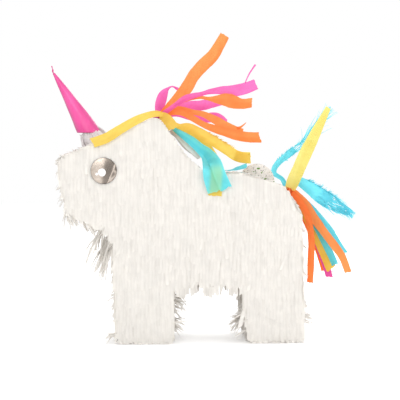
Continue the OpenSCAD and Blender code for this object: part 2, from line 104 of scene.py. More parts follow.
class Shader:
    """A material's node tree, with short ways to add and join nodes."""

    def __init__(self, name):
        self.material = bpy.data.materials.new(name)
        self.material.use_nodes = True
        self.tree = self.material.node_tree
        self.tree.nodes.clear()
        self.output = self.add("ShaderNodeOutputMaterial")

    def add(self, kind, links=None, **settings):
        made = self.tree.nodes.new(kind)
        for key, value in settings.items():
            if key in made.bl_rna.properties:
                setattr(made, key, value)
            else:
                made.inputs[key.replace("_", " ")].default_value = value
        for key, socket in (links or {}).items():
            self.tree.links.new(socket, made.inputs[key])
        return made

    def noise(self, scale, detail=3.0, rough=0.55, stretch=(1, 1, 1)):
        place = self.add("ShaderNodeTexCoord").outputs["Object"]
        mapped = self.add("ShaderNodeMapping", {"Vector": place})
        mapped.inputs["Scale"].default_value = stretch
        made = self.add("ShaderNodeTexNoise", {"Vector": mapped.outputs["Vector"]},
                        Scale=scale, Detail=detail, Roughness=rough)
        return made.outputs["Fac"]

    def ramp(self, socket, low, high, low_value=0.0, high_value=1.0):
        made = self.add("ShaderNodeMapRange", {"Value": socket}, From_Min=low, From_Max=high,
                        To_Min=low_value, To_Max=high_value)
        return made.outputs["Result"]

    def attribute(self, name):
        return self.add("ShaderNodeAttribute", attribute_name=name).outputs["Fac"]

    def blend(self, amount, a, b):
        made = self.add("ShaderNodeMix", data_type="RGBA")
        self.tree.links.new(amount, made.inputs[0])
        for index, value in ((6, a), (7, b)):
            if isinstance(value, bpy.types.NodeSocket):
                self.tree.links.new(value, made.inputs[index])
            else:
                made.inputs[index].default_value = (*value, 1.0)
        return made.outputs[2]

    def times(self, socket, factor):
        made = self.add("ShaderNodeMath", operation="MULTIPLY")
        self.tree.links.new(socket, made.inputs[0])
        made.inputs[1].default_value = factor
        return made.outputs[0]

    def bump(self, height, strength, distance):
        made = self.add("ShaderNodeBump", {"Height": height}, Strength=strength, Distance=distance)
        return made.outputs["Normal"]

    def finish(self, surface):
        self.tree.links.new(surface, self.output.inputs["Surface"])
        return self.material

    def coated(self, tone, rough, height, strength, distance, **sockets):
        """Ends the material as one surface of that tone, with a fine bump made from height."""
        made = self.add("ShaderNodeBsdfPrincipled", {"Base Color": tone}, Roughness=rough, **sockets)
        self.tree.links.new(self.bump(height, strength, distance), made.inputs["Normal"])
        return self.finish(made.outputs[0])


def darker(colour, share):
    return tuple(c * share for c in colour)


def tissue(name, colour, shade_colour, clear=0.25, crease=260.0, bump=0.5, rough=0.8, over=None):
    """Thin paper: shows light from behind, fine creases, and painted shade: the pieces' shade attribute
    blends in shade_colour.
    over is its colour where a strip of another colour shows through (the "over" attribute)."""
    s = Shader(name)
    shade = s.attribute("shade")
    mottle = s.noise(90.0, 4.0)
    tone = s.blend(s.ramp(mottle, 0.3, 0.7), darker(colour, 0.93), colour)
    tone = s.blend(shade, shade_colour, tone)
    if over is not None:
        seen_through = s.attribute("over")
        tone = s.blend(seen_through, tone, over)
    fine = s.noise(crease, 5.0, 0.6)
    normal = s.bump(fine, bump, 0.6 * MM)
    paper = s.add("ShaderNodeBsdfPrincipled", {"Base Color": tone, "Normal": normal}, Roughness=rough)
    paper.inputs["Specular IOR Level"].default_value = 0.3
    behind = s.add("ShaderNodeBsdfTranslucent", {"Color": tone, "Normal": normal})
    mixed = s.add("ShaderNodeMixShader", Fac=clear)
    s.tree.links.new(paper.outputs[0], mixed.inputs[1])
    s.tree.links.new(behind.outputs[0], mixed.inputs[2])
    return s.finish(mixed.outputs[0])


def cardboard():
    """Brown board with the faint lines of its flutes and flecks of recycled fibre."""
    s = Shader("corrugated cardboard")
    place = s.add("ShaderNodeTexCoord").outputs["Object"]
    flutes = s.add("ShaderNodeTexWave", {"Vector": place}, Scale=55.0, Distortion=0.6)
    flecks = s.noise(700.0, 4.0)
    tone = s.blend(s.ramp(flecks, 0.35, 0.7), (0.38, 0.24, 0.12), (0.52, 0.35, 0.19))
    tone = s.blend(s.times(flutes.outputs["Fac"], 0.25), tone, (0.34, 0.21, 0.11))
    return s.coated(tone, 0.85, flutes.outputs["Fac"], 0.3, 0.4 * MM)


def horn_paper():
    """Satin pink paper with faint streaks, and painted shade where its shade attribute is low."""
    s = Shader("pink horn paper")
    shade = s.attribute("shade")
    streaks = s.noise(60.0, 3.0, 0.5, (1, 1, 0.25))
    tone = s.blend(s.ramp(streaks, 0.35, 0.65), (0.66, 0.048, 0.25), (0.78, 0.085, 0.33))
    tone = s.blend(shade, (0.22, 0.008, 0.08), tone)
    return s.coated(tone, 0.42, s.noise(180.0, 4.0), 0.3, 0.5 * MM, Sheen_Weight=0.15)


def foil():
    """Mirror foil with a fine ripple. Its shade attribute paints a reflection on it: a dark half, a bright
    crease and shade at the rim.
    """
    s = Shader("eye foil")
    shade = s.attribute("shade")
    ripple = s.noise(150.0, 3.0)
    tone = s.blend(s.ramp(ripple, 0.35, 0.7), (0.50, 0.43, 0.37), (0.64, 0.56, 0.49))
    tone = s.blend(shade, (0.13, 0.11, 0.095), tone)
    return s.coated(tone, 0.27, ripple, 0.25, 0.5 * MM, Metallic=1.0)


def sticker_paper():
    """Smooth white paper with a fine grain."""
    s = Shader("white sticker")
    grain = s.noise(500.0, 4.0)
    tone = s.blend(s.ramp(grain, 0.35, 0.7), (0.84, 0.84, 0.84), (0.92, 0.92, 0.92))
    return s.coated(tone, 0.4, grain, 0.25, 0.3 * MM)


def flap_card():
    """Grey-white card with fine dark specks and a few larger green flecks."""
    s = Shader("flap card")
    grain = s.noise(420.0, 4.0)
    tone = s.blend(s.ramp(grain, 0.35, 0.7), (0.74, 0.73, 0.70), (0.92, 0.91, 0.88))
    specks = s.noise(620.0, 2.0)
    tone = s.blend(s.ramp(specks, 0.60, 0.66), tone, (0.22, 0.21, 0.20))
    flecks = s.noise(230.0, 1.0)
    tone = s.blend(s.ramp(flecks, 0.67, 0.69), tone, (0.10, 0.26, 0.03))
    return s.coated(tone, 0.55, grain, 0.3, 0.3 * MM)


def woven_ribbon():
    """White satin ribbon: fine ribs across it, a soft sheen, and greyer along both edges."""
    s = Shader("white ribbon")
    shade = s.attribute("shade")
    place = s.add("ShaderNodeTexCoord").outputs["Object"]
    ribs = s.add("ShaderNodeTexWave", {"Vector": place}, Scale=420.0, bands_direction="DIAGONAL")
    tone = s.blend(ribs.outputs["Fac"], (0.70, 0.68, 0.65), (0.86, 0.84, 0.80))
    tone = s.blend(shade, (0.42, 0.41, 0.39), tone)
    return s.coated(tone, 0.5, ribs.outputs["Fac"], 0.4, 0.2 * MM, Sheen_Weight=0.4)


WHITE_TISSUE = tissue("white tissue", (0.955, 0.93, 0.89), (0.62, 0.59, 0.55), 0.40, 380.0, 0.22)
COLLAR_TISSUE = tissue("collar tissue", (0.92, 0.87, 0.87), (0.74, 0.68, 0.69), 0.4, 300.0, 0.4)
YELLOW = tissue("yellow tissue", (0.87, 0.64, 0.13), (0.66, 0.37, 0.015), 0.45, bump=0.25)
PALE_YELLOW = tissue("single yellow tissue", (0.86, 0.73, 0.22), (0.60, 0.47, 0.06), 0.45, bump=0.12)
TURQUOISE = tissue("turquoise tissue", (0.18, 0.74, 0.85), (0.07, 0.42, 0.50), 0.45, bump=0.3)
PALE_TURQUOISE = tissue("single turquoise tissue", (0.22, 0.84, 0.93), (0.06, 0.58, 0.68), 0.5,
                        bump=0.3, over=(0.42, 0.82, 0.55))
PINK = tissue("pink tissue", (0.84, 0.17, 0.47), (0.60, 0.04, 0.24), 0.45, bump=0.35)
ORANGE = tissue("orange tissue", (0.98, 0.29, 0.085), (0.82, 0.12, 0.012), 0.45, bump=0.35)
CARDBOARD = cardboard()
HORN_PAPER = horn_paper()
FOIL = foil()
DOT_PAPER = sticker_paper()
FLAP_CARD = flap_card()
RIBBON = woven_ribbon()

# ---------------------------------------------------------------- meshes


def add_piece(name, points, faces, material, shade=None, body="carcass"):
    """A mesh piece that rides a body. shade is one number per point, 1 where the colour is lightest; it
    carries painted shade as well as random tone.
    """
    mesh = bpy.data.meshes.new(name)
    mesh.from_pydata([tuple(p) for p in points], [], [tuple(int(i) for i in f) for f in faces])
    mesh.validate()
    if shade is not None:
        mesh.attributes.new("shade", "FLOAT", "POINT").data.foreach_set(
            "value", np.asarray(shade, np.float32))
    mesh.polygons.foreach_set("use_smooth", [True] * len(mesh.polygons))
    mesh.materials.append(material)
    piece = bpy.data.objects.new(name, mesh)
    bpy.context.scene.collection.objects.link(piece)
    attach(piece, body)
    return piece


class Batch:
    """Points, faces and shades of many small pieces, gathered into one mesh."""

    def __init__(self):
        self.points, self.faces, self.shades, self.count = [], [], [], 0
        self.flat_length = 0.0

    def add(self, points, faces, shades):
        self.points.append(points)
        self.faces.append(faces + self.count)
        self.shades.append(shades)
        self.count += len(points)

    def grid(self, points, shades):
        """points is (strips, rows, columns, 3): each strip a net of quads."""
        strips, rows, columns, _ = points.shape
        index = np.arange(strips * rows * columns).reshape(strips, rows, columns)
        faces = np.stack([
            index[:, :-1, :-1], index[:, :-1, 1:], index[:, 1:, 1:], index[:, 1:, :-1]
        ], axis=-1).reshape(-1, 4)
        self.add(points.reshape(-1, 3), faces, shades.reshape(-1))

    def piece(self, name, material, node, slot, body="carcass"):
        made = add_piece(name, np.concatenate(self.points), np.concatenate(self.faces), material,
                         np.concatenate(self.shades), body)
        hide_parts(node)
        return made

    def declare(self, made):
        """Works out the area of the piece, which nothing goes on to use."""
        area = sum_area(made)


def sum_area(piece):
    areas = np.zeros(len(piece.data.polygons))
    piece.data.polygons.foreach_get("area", areas)
    return float(areas.sum())


def unit(v):
    return v / np.maximum(np.linalg.norm(v, axis=-1, keepdims=True), 1e-12)


def on_each_row(per_strand):
    """Gives one number or one direction per strand to every row of that strand."""
    return per_strand[:, None].repeat(STRAND_ROWS, 1)


def bowed(start, goal, bow):
    """Centre lines of strands from start to goal, which stand off by bow half way along."""
    s = np.linspace(0, 1, STRAND_ROWS)[None, :, None]
    return start[:, None, :] * (1 - s) + goal[:, None, :] * s + bow[:, None, :] * 4 * s * (1 - s)


# ---------------------------------------------------------------- the body's outline


def face_outline(node):
    """The closed outline (x, z) of a flat panel, counter-clockwise as seen from -Y."""
    mesh = frame["nodes"][node].data
    key = [tuple(round(c, 6) for c in v.co) for v in mesh.vertices]
    outer = min(k[1] for k in key)
    edges = {}
    for polygon in mesh.polygons:
        ring = [key[i] for i in polygon.vertices]
        if all(abs(k[1] - outer) < 1e-6 for k in ring):
            for a, b in zip(ring, ring[1:] + ring[:1]):
                if (b, a) in edges:
                    del edges[(b, a)]
                else:
                    edges[(a, b)] = True
    following = dict(edges.keys())
    start = min(following)
    line, at = [start], following[start]
    while at != start:
        line.append(at)
        at = following[at]
    line = np.array([(k[0], k[2]) for k in line])
    x, z = line[:, 0], line[:, 1]
    area = (x * np.roll(z, -1) - z * np.roll(x, -1)).sum()
    return line if area > 0 else line[::-1]


def moved_out(line, distance):
    ahead = unit(np.roll(line, -1, 0) - line)
    behind = unit(line - np.roll(line, 1, 0))
    n0 = np.stack([behind[:, 1], -behind[:, 0]], 1)
    n1 = np.stack([ahead[:, 1], -ahead[:, 0]], 1)
    m = unit(n0 + n1)
    return line + m * distance / (m * n0).sum(1, keepdims=True)


card_line = face_outline("left_side_panel")
card_y = -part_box("left_side_panel")[0].y
skin_t = abs(card_y - abs(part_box("left_head_fringe")[0].y))
skin_line = moved_out(card_line, skin_t)
skin_from, skin_to = skin_line[:, 0].min(), skin_line[:, 0].max()


def spans(line, x):
    """Pairs (low z, high z) in which the upright line at x lies inside the outline."""
    a, b = line, np.roll(line, -1, 0)
    cross = (a[:, 0] <= x) != (b[:, 0] <= x)
    a, b = a[cross], b[cross]
    z = np.sort(a[:, 1] + (x - a[:, 0]) / (b[:, 0] - a[:, 0]) * (b[:, 1] - a[:, 1]))
    return list(zip(z[::2], z[1::2]))


# ---------------------------------------------------------------- fringe

ROW_H = 21 * MM
STRAND_W = 5.0 * MM
STRAND_ROWS = 6
STRAND_LENGTH = (31, 3.5)  # mean and spread on the sides, in millimetres
TOP_SCATTER = 3.2 * MM  # how far the tops of strands stray from their row
SLICE_W = 5 * MM  # width of the slices of a side's backing sheet
JUST_INSIDE = 1e-6  # keeps a slice's ends off the outline's own corners
FLOOR_Z = 0.4 * MM
PROUD = 8 * MM  # furthest that a strand may stand out beyond the CAD box, at the sides
rng = np.random.default_rng(20)


def ripple(x, z):
    """Soft unevenness of the tissue over the board, stronger in four rumpled spots."""
    low = 0.35 * np.sin(x / 0.017 + 1.3 * np.sin(z / 0.021)) + 0.3 * np.sin(z / 0.013 + x / 0.03)
    fine = np.sin(x / 0.0046 + 2 * np.sin(z / 0.006)) * np.sin(z / 0.0052 + 1.5 * np.sin(x / 0.008))
    rumpled = 0.0
    for cx, cz, wx, wz in ((0.096, 0.155, 0.030, 0.016), (-0.075, 0.014, 0.026, 0.018),
                           (-0.165, 0.195, 0.02, 0.02), (0.09, 0.02, 0.03, 0.02)):
        rumpled = rumpled + np.exp(-((x - cx) / wx) ** 2 - ((z - cz) / wz) ** 2)
    return (low + 1.1 * rumpled * fine) * 0.5 * MM


def strands(batch, centre, side, out, width, shade, cup=0.05, skew=0.25, edge_shade=0.0):
    """Adds cut strands: centre, side and out are (n, rows, 3), width and shade are (n, rows).
    edge_shade is how much painted shade deepens the colour along the two cut edges, as the shadow in the
    slits between strands."""
    n, rows, _ = centre.shape
    crease = rng.normal(0, 0.07 * MM, (n, rows, 1))
    fold = rng.normal(0, cup, (n, 1, 1)) * width[..., None]
    columns = []
    for c, raised in ((-0.5, 0.0), (0.0, 1.0), (0.5, 0.0)):
        edge = centre + side * (c * width)[..., None] + out * (crease + raised * fold)
        tip = rng.normal(0, skew, n) * width[:, -1]
        last = unit(centre[:, -1] - centre[:, -2])
        edge[:, -1] += last * tip[:, None]
        columns.append(edge)
    points = np.stack(columns, axis=2)
    points[..., 1] = np.clip(points[..., 1], cad_box[0][1] - PROUD, cad_box[1][1] + PROUD)
    points[..., 2] = np.maximum(points[..., 2], FLOOR_Z)
    # painted shade along the two cut edges of each strand
    batch.grid(points, np.clip(shade[:, :, None] - edge_shade * np.array([1, 0, 1]), 0, 1))
    length = np.linalg.norm(np.diff(centre, axis=1), axis=2).sum(1)
    batch.flat_length = max(batch.flat_length, float(length.mean()))


def spray(batch, roots, ways, length, width, droop, shade=0.8, spread=0.35):
    """Loose torn strands from each root, curving over under their own weight."""
    n = len(roots)
    s = np.linspace(0, 1, STRAND_ROWS)[None, :, None]
    ways = unit(ways + rng.normal(0, spread, (n, 3)))
    reach = rng.uniform(*length, n)[:, None, None]
    centre = roots[:, None, :] + ways[:, None, :] * reach * s
    centre = centre - UP * (rng.uniform(*droop, n)[:, None, None] * reach * s ** 2)
    across = unit(np.cross(ways, rng.normal(0, 1, (n, 3)) + 0.8 * UP))
    side = on_each_row(across)
    out = unit(np.cross(side, ways[:, None, :]))
    thin = rng.uniform(*width, n)[:, None] * (1 - 0.45 * s[..., 0])
    tone = np.clip(shade + rng.normal(0, 0.15, n)[:, None] + 0 * s[..., 0], 0, 1)
    strands(batch, centre, side, out, thin, tone, cup=0.2, skew=0.6)


BELLY = (-37 * MM, 42 * MM)  # where the lower edge hangs free between the legs
BELLY_SHADE_TOP = 88 * MM  # strands that start below this height in there get painted shade towards their tips, as they hang in the shade under the belly
SOLE_GAP = 2.4 * MM  # the backing tissue stops this far above the floor


def overhang(low):
    """How far a strand hangs below the outline's lower edge at height low. Over a foot it ends above."""
    if low < 20 * MM:
        return -rng.uniform(0, 1) ** 2 * 4 * MM
    return rng.uniform(1, 7) * MM


def hem():
    """Strands that hang in clumps below the belly: (x, top, length, layer, share of full width)."""
    roots = []
    for layer in range(3):
        x = BELLY[0]
        while x < BELLY[1]:
            low = spans(skin_line, x)[0][0]
            clump = math.sin(x / (6.1 * MM) + 0.4) + 0.7 * math.sin(x / (2.6 * MM) + 1.0)
            if clump > -0.45:
                drop = (13.5 + 1.5 * clump + rng.uniform(-2.5, 2.5)) * MM
                roots.append((x, low + 7 * MM, 7 * MM + drop, layer, rng.uniform(0.4, 0.8)))
            x += rng.uniform(2.4, 4.4) * MM
    return roots


def side_backing(batch, sign, low_z, high_z):
    """Tissue between two heights, in upright slices that follow the outline."""
    foot = max(low_z, SOLE_GAP)
    y = sign * (card_y + 0.5 * MM)
    xs = np.unique(np.concatenate([skin_line[:, 0], np.arange(skin_from, skin_to, SLICE_W)]))
    for x0, x1 in zip(xs[:-1], xs[1:]):
        if x1 - x0 < 1e-5:
            continue
        first, second = spans(skin_line, x0 + JUST_INSIDE), spans(skin_line, x1 - JUST_INSIDE)
        for (a0, b0), (a1, b1) in zip(first, second):
            z = np.array([[max(a0, foot), max(a1, foot)], [min(b0, high_z), min(b1, high_z)]])
            if (z[1] - z[0]).min() < -1e-9 or (z[1] - z[0]).max() < 1e-5:
                continue
            corner = np.array([[(x0, y, low), (x1, y, high)] for low, high in z])
            batch.grid(corner[None], np.full((1, 2, 2), 0.9))


def row_roots(first_row, last_row):
    """Strands of a side's rows: (x, top, length, layer, share of full width)."""
    roots = []
    for layer in range(3):
        for row in range(first_row, last_row + 1):
            x = skin_from + rng.uniform(0, STRAND_W)
            while x < skin_to:
                for low, high in spans(skin_line, x):
                    top = (row + 1) * ROW_H + rng.normal(0, TOP_SCATTER) - layer * 5 * MM
                    if row * ROW_H < high <= (row + 1) * ROW_H:
                        top = high - rng.uniform(0, 0.8) * MM
                    if top > high or top < low + 5 * MM:
                        continue
                    length = rng.normal(*STRAND_LENGTH) * MM
                    bottom = max(top - length, low - overhang(low))
                    if top - bottom > 4 * MM:
                        roots.append((x, top, top - bottom, layer, rng.uniform(0.7, 1.1)))
                x += STRAND_W * rng.uniform(0.8, 1.1)
    return roots


def side_fringe(which, group, first_row, last_row):
    """Strands hanging on one side panel, in rows whose tops are scattered, over backing tissue."""
    sign = -1 if which == "left" else 1
    node = f"{which}_{group}_fringe"
    batch = Batch()
    side_backing(batch, sign, first_row * ROW_H, (last_row + 1) * ROW_H)
    roots = row_roots(first_row, last_row)
    if group == "leg":
        roots += hem()
    roots = np.array(roots)
    n = len(roots)
    s = np.linspace(0, 1, STRAND_ROWS)[None, :]
    root_x, top, length, layer, share = roots.T
    hanging = (root_x > BELLY[0]) & (root_x < BELLY[1]) & (top < BELLY_SHADE_TOP)
    tilt = rng.normal(0, 0.018, n)
    wild = rng.random(n) < 0.015
    tilt[wild] = rng.normal(0, 0.2, wild.sum())
    bend = rng.normal(0, 0.02, n)
    lift = rng.gamma(2.0, 0.09, n) * MM
    lift[wild] += rng.uniform(0.5, 2.5, wild.sum()) * MM
    depth = (card_y + 0.9 * MM + (2 - layer)[:, None] * 0.3 * MM + 0.6 * MM * s
             + lift[:, None] * s ** 2.5)
    x = root_x[:, None] + length[:, None] * (tilt[:, None] * s + bend[:, None] * s ** 2)
    z = top[:, None] - length[:, None] * s
    centre = np.stack([x, sign * (depth + ripple(x, z)), z], axis=2)
    twist = rng.normal(0, 0.07, n)[:, None] * s
    side = np.stack([np.cos(twist), sign * np.sin(twist), 0 * twist], axis=2)
    out = np.stack([0 * twist, sign * np.cos(twist), 0 * twist], axis=2)
    width = on_each_row(STRAND_W * share)
    # Painted shade: each strand is darker at its root, and strands hanging under the belly grow darker
    # towards their tips; the rest is random tone.
    shade = np.clip(0.92 + 0.06 * s + rng.normal(0, 0.05, n)[:, None], 0, 1)
    shade[hanging] -= rng.uniform(0.0, 0.5, hanging.sum())[:, None] * s
    strands(batch, centre, side, out, width, shade, cup=0.035, edge_shade=0.14)
    made = batch.piece(f"{node}_strands", WHITE_TISSUE, node, "white_tissue")
    batch.declare(made)


for which in ("left", "right"):
    side_fringe(which, "leg", 0, 3)
    side_fringe(which, "belly", 4, 6)
    side_fringe(which, "shoulder", 7, 9)
    side_fringe(which, "head", 10, 14)

# ---------------------------------------------------------------- edge tissue


def edge_path(node):
    """The stretch of the outline that an edge node covers, in the outline's own direction."""
    mesh = frame["nodes"][node].data
    have = {(round(v.co.x, 4), round(v.co.z, 4)) for v in mesh.vertices}
    near = [any((round(x + dx, 4), round(z + dz, 4)) in have for dx in (-1e-4, 0, 1e-4)
                for dz in (-1e-4, 0, 1e-4)) for x, z in skin_line]
    near = np.array(near)
    n = len(near)
    start = next(i for i in range(n) if near[i] and not near[i - 1])
    count = 0
    while near[(start + count) % n] and count < n:
        count += 1
    return skin_line[[(start + i) % n for i in range(count)]]


class Path:
    """A polyline that can be read at any distance along it."""

    def __init__(self, line):
        self.line = line
        self.at = np.concatenate([[0], np.cumsum(np.linalg.norm(np.diff(line, axis=0), axis=1))])
        self.length = self.at[-1]

    def point(self, d):
        d = np.clip(d, 0, self.length)
        return np.stack([np.interp(d, self.at, self.line[:, k]) for k in (0, 1)], axis=-1)

    def tangent(self, d):
        step = 2.5 * MM
        return unit(self.point(np.minimum(d + step, self.length)) - self.point(np.maximum(d - step, 0)))


def lift3(xz, y):
    return np.stack([xz[..., 0], np.broadcast_to(y, xz.shape[:-1]), xz[..., 1]], axis=-1)


CLUMP = 7  # torn strands that come away together
TUFT_WIDTH = (1.0 * MM, 3.8 * MM)


def edge_backing(batch, path, half, hole):
    """Tissue under the strands of an edge, without the squares that lie in the hole's box."""
    rows = max(2, int(path.length / (4 * MM)))
    d = np.linspace(0, path.length, rows)
    y = np.linspace(-half, half, 19)
    points, tangents = path.point(d), path.tangent(d)
    outward = np.stack([tangents[:, 1], -tangents[:, 0]], axis=1)
    sheet = points - outward * 2.2 * MM
    net = np.stack([lift3(sheet, v) for v in y], axis=1)[None]
    if hole is None:
        batch.grid(net, np.full(net.shape[:3], 0.85))
        return
    x0, x1, y0, y1 = hole
    for i in range(rows - 1):
        for j in range(len(y) - 1):
            mid = net[0, i:i + 2, j:j + 2].reshape(-1, 3).mean(0)
            if not (x0 < mid[0] < x1 and y0 < mid[1] < y1):
                batch.grid(net[:, i:i + 2, j:j + 2], np.full((1, 2, 2), 0.85))


def edge_tufts(batch, path, half, tufts):
    """Torn strands that come away from the edge in clumps, about half of them at the left side."""
    for x0, x1, z0, z1, count, reach, toward, droop in tufts:
        d = np.linspace(0, path.length, 600)
        p = path.point(d)
        d = d[(p[:, 0] > x0 * MM) & (p[:, 0] < x1 * MM) & (p[:, 1] > z0 * MM) & (p[:, 1] < z1 * MM)]
        clumps = max(3, count // CLUMP)
        member = rng.integers(clumps, size=count)
        pick = rng.choice(d, clumps)[member] + rng.normal(0, 1.5 * MM, count)
        near = np.where(rng.random(clumps) < 0.55, -1, rng.choice([1, 0.3, -0.4], clumps))[member]
        root = lift3(path.point(pick), near * half * rng.uniform(0.9, 1.0, count))
        lean = rng.normal(0, 1, (clumps, 3)) * [0.25, 0.12, 0.25]
        ways = np.array([toward[0], 0.0, toward[1]]) + lean[member]
        # shade=0.55 gives the tufts painted shade, greyer than the body
        spray(batch, root - ways * 3 * MM, ways, np.array(reach) * MM, TUFT_WIDTH, droop,
              shade=0.55, spread=0.13)


def edge_fringe(node, direction, row_pitch=15 * MM, hole=None, sprays=(), tufts=()):
    """Rows of strands across the body's edge. direction 1 lays them along the outline's way,
    -1 against it, and 0 lets each lie downhill. hole is a box (x0, x1, y0, y1) kept bare.
    sprays are (z0, z1, reach, share) of strands that stand off the surface, and tufts are
    (x0, x1, z0, z1, count, (shortest, longest), way, (least, most droop)) of torn ones."""
    path = Path(edge_path(node))
    half = card_y + 1.5 * MM
    batch = Batch()
    edge_backing(batch, path, half, hole)
    roots = []
    for layer in range(2):
        for r in range(int(path.length / row_pitch) + 2):
            v = -half + rng.uniform(0, STRAND_W)
            while v < half:
                roots.append(((r + 0.5 * layer) * row_pitch + rng.normal(0, 1.0 * MM), v, layer))
                v += STRAND_W * rng.uniform(0.85, 1.1)
    roots = np.array(roots)
    root_d, root_y, layer = roots.T
    root_d = np.clip(root_d, 0, path.length)
    t = path.tangent(root_d)
    normal = np.stack([t[:, 1], -t[:, 0]], axis=1)
    way = np.where(t[:, 1] < 0, 1.0, -1.0) if direction == 0 else np.full(len(t), float(direction))
    if hole is not None:
        p = path.point(root_d)
        tip = path.point(root_d + way * 24 * MM)
        lo, hi = np.minimum(p[:, 0], tip[:, 0]), np.maximum(p[:, 0], tip[:, 0])
        x0, x1, y0, y1 = hole
        keep = ~((hi > x0) & (lo < x1) & (root_y > y0) & (root_y < y1))
        root_d, root_y, layer, t, normal, way = (a[keep] for a in (root_d, root_y, layer, t, normal, way))
    n = len(root_d)
    s = np.linspace(0, 1, STRAND_ROWS)[None, :]
    below = normal[:, 1] < -0.6  # the surface faces down, so the strands hang from it
    length = rng.uniform(18, 26, n) * MM
    length[below] = rng.uniform(7, 15, below.sum()) * MM
    lift = rng.gamma(2.0, 0.3, n) * MM
    wild = rng.random(n) < 0.05
    lift[wild] += rng.uniform(1, 4, wild.sum()) * MM
    for z0, z1, reach, share in sprays:
        p = path.point(root_d)
        here = (p[:, 1] > z0) & (p[:, 1] < z1) & (rng.random(n) < share)
        lift[here] += rng.uniform(0.3, 1.0, here.sum()) * reach
    along = root_d[:, None] + way[:, None] * length[:, None] * s
    beyond = along - np.clip(along, 0, path.length)
    base = path.point(along)
    tangent = path.tangent(along)
    base = base + tangent * beyond[..., None]
    outward = np.stack([tangent[..., 1], -tangent[..., 0]], axis=-1)
    rise = -1.4 * MM + layer[:, None] * 0.5 * MM + 1.2 * MM * s + lift[:, None] * s ** 2
    laid = base + outward * rise[..., None]
    hang = path.point(root_d)[:, None, :] - normal[:, None, :] * 1.4 * MM
    drop = length[:, None] * s
    hang = hang + np.stack([rng.normal(0, 0.12, n)[:, None] * drop, -drop], axis=-1)
    xz = np.where(below[:, None, None], hang, laid)
    sway = root_y[:, None] + length[:, None] * rng.normal(0, 0.10, n)[:, None] * s ** 1.5
    sway = np.clip(sway, -(half + 1 * MM), half + 1 * MM)
    centre = lift3(xz, sway)
    twist = rng.normal(0, 0.2, n)[:, None] * s
    out3 = lift3(np.where(below[:, None, None], np.broadcast_to(t[:, None, :], xz.shape), outward), 0.0)
    side = ACROSS * np.cos(twist)[..., None] + out3 * np.sin(twist)[..., None]
    width = on_each_row(STRAND_W * rng.uniform(0.6, 1.0, n))
    # painted shade: strands darker at their roots, with random tone
    shade = np.clip(0.80 + 0.15 * s + rng.normal(0, 0.12, n)[:, None], 0, 1)
    strands(batch, centre, side, out3, width, shade)
    edge_tufts(batch, path, half, tufts)
    made = batch.piece(f"{node}_strands", WHITE_TISSUE, node, "white_tissue")
    batch.declare(made)


flap_low, flap_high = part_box("fill_flap")
hole_edge = 3 * MM
# The box kept bare round the hole: x0, x1, y0, y1
bare_hole = (flap_low.x - hole_edge, flap_high.x + hole_edge,
             flap_high.y - (flap_high.x - flap_low.x) / 2 - 2 * hole_edge, flap_high.y + 2 * hole_edge)

edge_fringe("head_tissue", 1, tufts=[
    (-196, -160, 240, 264, 35, (4, 9), (-0.9, 0.5), (0, 0.4)),
    (-200, -180, 215, 246, 56, (4, 10), (-1, -0.3), (0.1, 0.6)),
    (-200, -178, 186, 212, 60, (6, 14), (-0.9, -0.5), (0.2, 0.8)),
    (-188, -168, 160, 178, 34, (12, 24), (0.5, -0.85), (0.1, 0.4)),
])
edge_fringe("chest_tissue", 1, tufts=[
    (-178, -148, 152, 173, 34, (14, 26), (0.55, -0.85), (0.1, 0.4)),
    (-136, -120, 128, 154, 98, (22, 42), (-0.5, -0.9), (0.2, 0.6)),
    (-130, -112, 20, 125, 56, (4, 9), (-0.8, -0.6), (0.1, 0.6)),
    (-130, -112, 8, 60, 21, (10, 18), (-0.95, 0.15), (0, 0.5)),
])
edge_fringe("underside_tissue", 0, sprays=[(10 * MM, 66 * MM, 6 * MM, 0.10)], tufts=[
    (-48, -30, 10, 66, 98, (9, 21), (0.9, 0.0), (0, 0.8)),
    (30, 60, 6, 46, 105, (8, 22), (-0.9, 0.0), (0, 0.8)),
])
edge_fringe("rump_tissue", -1, tufts=[
    (110, 140, 100, 190, 70, (5, 11), (0.8, -0.5), (0.1, 0.7)),
    (115, 140, 20, 110, 98, (4, 11), (0.9, -0.4), (0.1, 0.8)),
    (115, 140, 14, 60, 21, (10, 18), (0.95, 0.05), (0, 0.5)),
])
edge_fringe("back_tissue", -1, hole=bare_hole)
edge_fringe("neck_tissue", -1)


TURNED_UP = 8 * MM  # how much of the sole's sheet goes up round the foot, counted in its flat size


